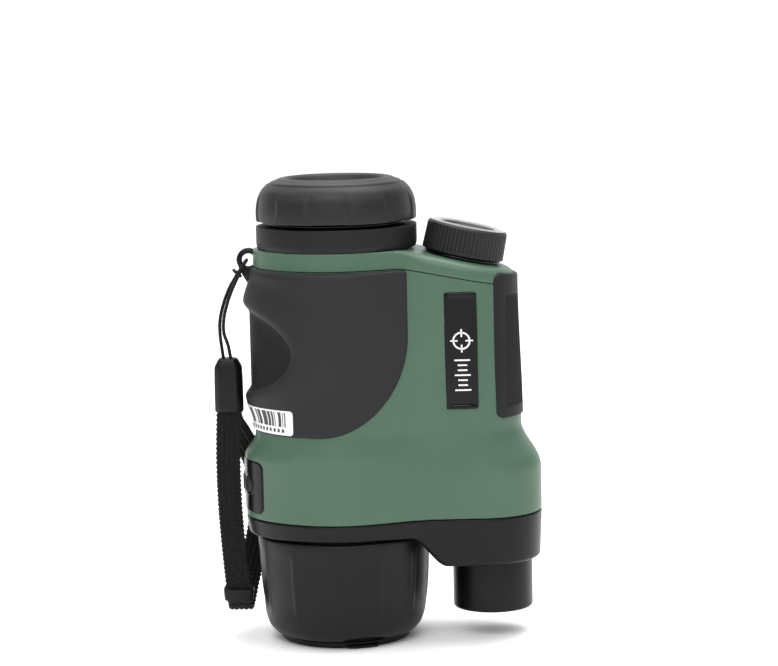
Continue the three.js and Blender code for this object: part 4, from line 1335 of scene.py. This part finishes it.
WEBBING_HALF, WEBBING_THIN = 3.55, 0.5
WEBBING_ROUTE = [
    (-32.2, -1.7, 66.6), (-32.5, -1.9, 61), (-32.7, -2.6, 54), (-32.7, -3, 46), (-32.5, -3, 38),
    (-32.1, -2.6, 30), (-31.6, -1.8, 22), (-31.1, -0.6, 15), (-30.8, 0.8, 10), (-30.5, 3.4, 7.7),
    (-30, 6.4, 9), (-28.9, 9.6, 14), (-26.9, 13.4, 22), (-24.9, 17, 31), (-24.5, 18.4, 39), (-25.6, 17, 47),
    (-28, 13.2, 54), (-30.4, 7.6, 60), (-31.9, 2.9, 63.8), (-32.1, 2.2, 66.6),
]
WEBBING_COLUMNS = 5
STITCH = 1.35


def build_webbing(route):
    """A thick weave: five columns of slanted stitches, with grooves between them and scalloped edges."""
    count = 10 * WEBBING_COLUMNS + 1
    across = np.concatenate([np.linspace(-1, 1, count), np.linspace(1, -1, count)])
    face = np.concatenate([np.ones(count), -np.ones(count)])
    column = (across + 1) / 2 * WEBBING_COLUMNS
    middle = np.abs(column % 1 - 0.5) * 2
    edge = np.sqrt(np.maximum(1 - np.abs(across) ** 8, 0.03))
    lean = np.where(np.floor(np.minimum(column, WEBBING_COLUMNS - 0.01)) % 2 == 0, 1, -1)
    slant = lean * (column % 1 - 0.5)

    def weave(run):
        stitch = 0.5 + 0.5 * np.cos(2 * math.pi * (run / STITCH + 0.55 * slant))
        thick = 0.2 + 0.28 * (1 - middle**6) + 0.24 * stitch * (1 - middle**3)
        rim = smoothstep(np.abs(across), 0.8, 1.0)
        wide = WEBBING_HALF + 0.14 * rim * (math.cos(2 * math.pi * run / STITCH) - 0.4)
        return wide * across, thick * edge * face, across * 3.5 + 3.5

    return tube_along("webbing", *route, weave, WEBBING, "wrist_webbing", facing=(1, 0, 0))


KEEPER_PLACE = (-30.95, 0.1, 12.6)


def build_keeper():
    """The slider that holds both runs of webbing together near the loop's end."""
    turn = circle(48)
    way = np.stack([np.cos(turn), np.sin(turn)], 1)
    square_oval = np.sign(way) * np.sqrt(np.abs(way))
    rows = [
        (4.1, 1.9, -1.6), (4.2, 1.97, -1.2), (4.45, 2.0, 1.3), (4.4, 1.95, 1.6), (4.25, 1.75, 1.85),
        (4.05, 1.15, 1.9), (3.9, 1.08, 1.7), (3.8, 1.08, -1.7), (3.85, 1.15, -1.9), (3.95, 1.7, -1.85),
    ]
    loops = [np.column_stack([square_oval * (a, b), np.full(len(turn), z)]) for a, b, z in rows]
    keeper = piece("keeper", "instrument", *stack(loops), RING, "strap_keeper", smooth=45)
    turned = Matrix.Rotation(3 * DEG, 4, "Y") @ Matrix.Rotation(13 * DEG, 4, "X")
    keeper.data.transform(Matrix.Translation(Vector(KEEPER_PLACE) * MM) @ turned)
    return keeper


ferrule = build_ferrule()
keeper = build_keeper()
thin_line, thin_ahead = smooth_route(CORD_ROUTE, 0.25)
thin_cord = tube_along("lanyard", thin_line, thin_ahead, braid, CORD, "lanyard_cord")
hitch = build_hitch()
webbing_line, webbing_ahead = smooth_route(WEBBING_ROUTE, 0.17)
webbing = build_webbing((webbing_line, webbing_ahead))
round(line_length(thin_line) * MM, 4)
round(line_length(webbing_line) * MM, 4)

# ---- pieces taken over from the CAD frame --------------------------------------------------------

CARRIED = {
    "aluminium": ALUMINIUM, "black_anodised": ANODISED, "black_plastic": BLACK, "steel": STEEL,
    "brass": BRASS, "battery_sleeve": SLEEVE, "circuit_board": BOARD, "glass": LENS, "seal_rubber": SEAL,
    "green_shell": GREEN, "gloss_black": GLOSS, "polished_metal": POLISHED, "grip_rubber": GRIP,
    "ring_rubber": RING,
    "button_rubber": KEY, "label": PRINT, "cord": CORD, "webbing": WEBBING,
}


def carry_over():
    """Gives every CAD node still in use the look of its material slot."""
    for obj in bpy.data.objects:
        if obj.type == "MESH" and "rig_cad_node" in obj:
            for i, look in enumerate(obj.data.materials):
                obj.data.materials[i] = CARRIED[look.name.split(".")[0]]


carry_over()

# ---- sizes of the CAD frame and of the shown pieces ----------------------------------------------

as_lists = lambda box: [[float(v) for v in corner] for corner in box]
{"cad_box": as_lists(cad_box), "visual_box": as_lists(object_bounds())}
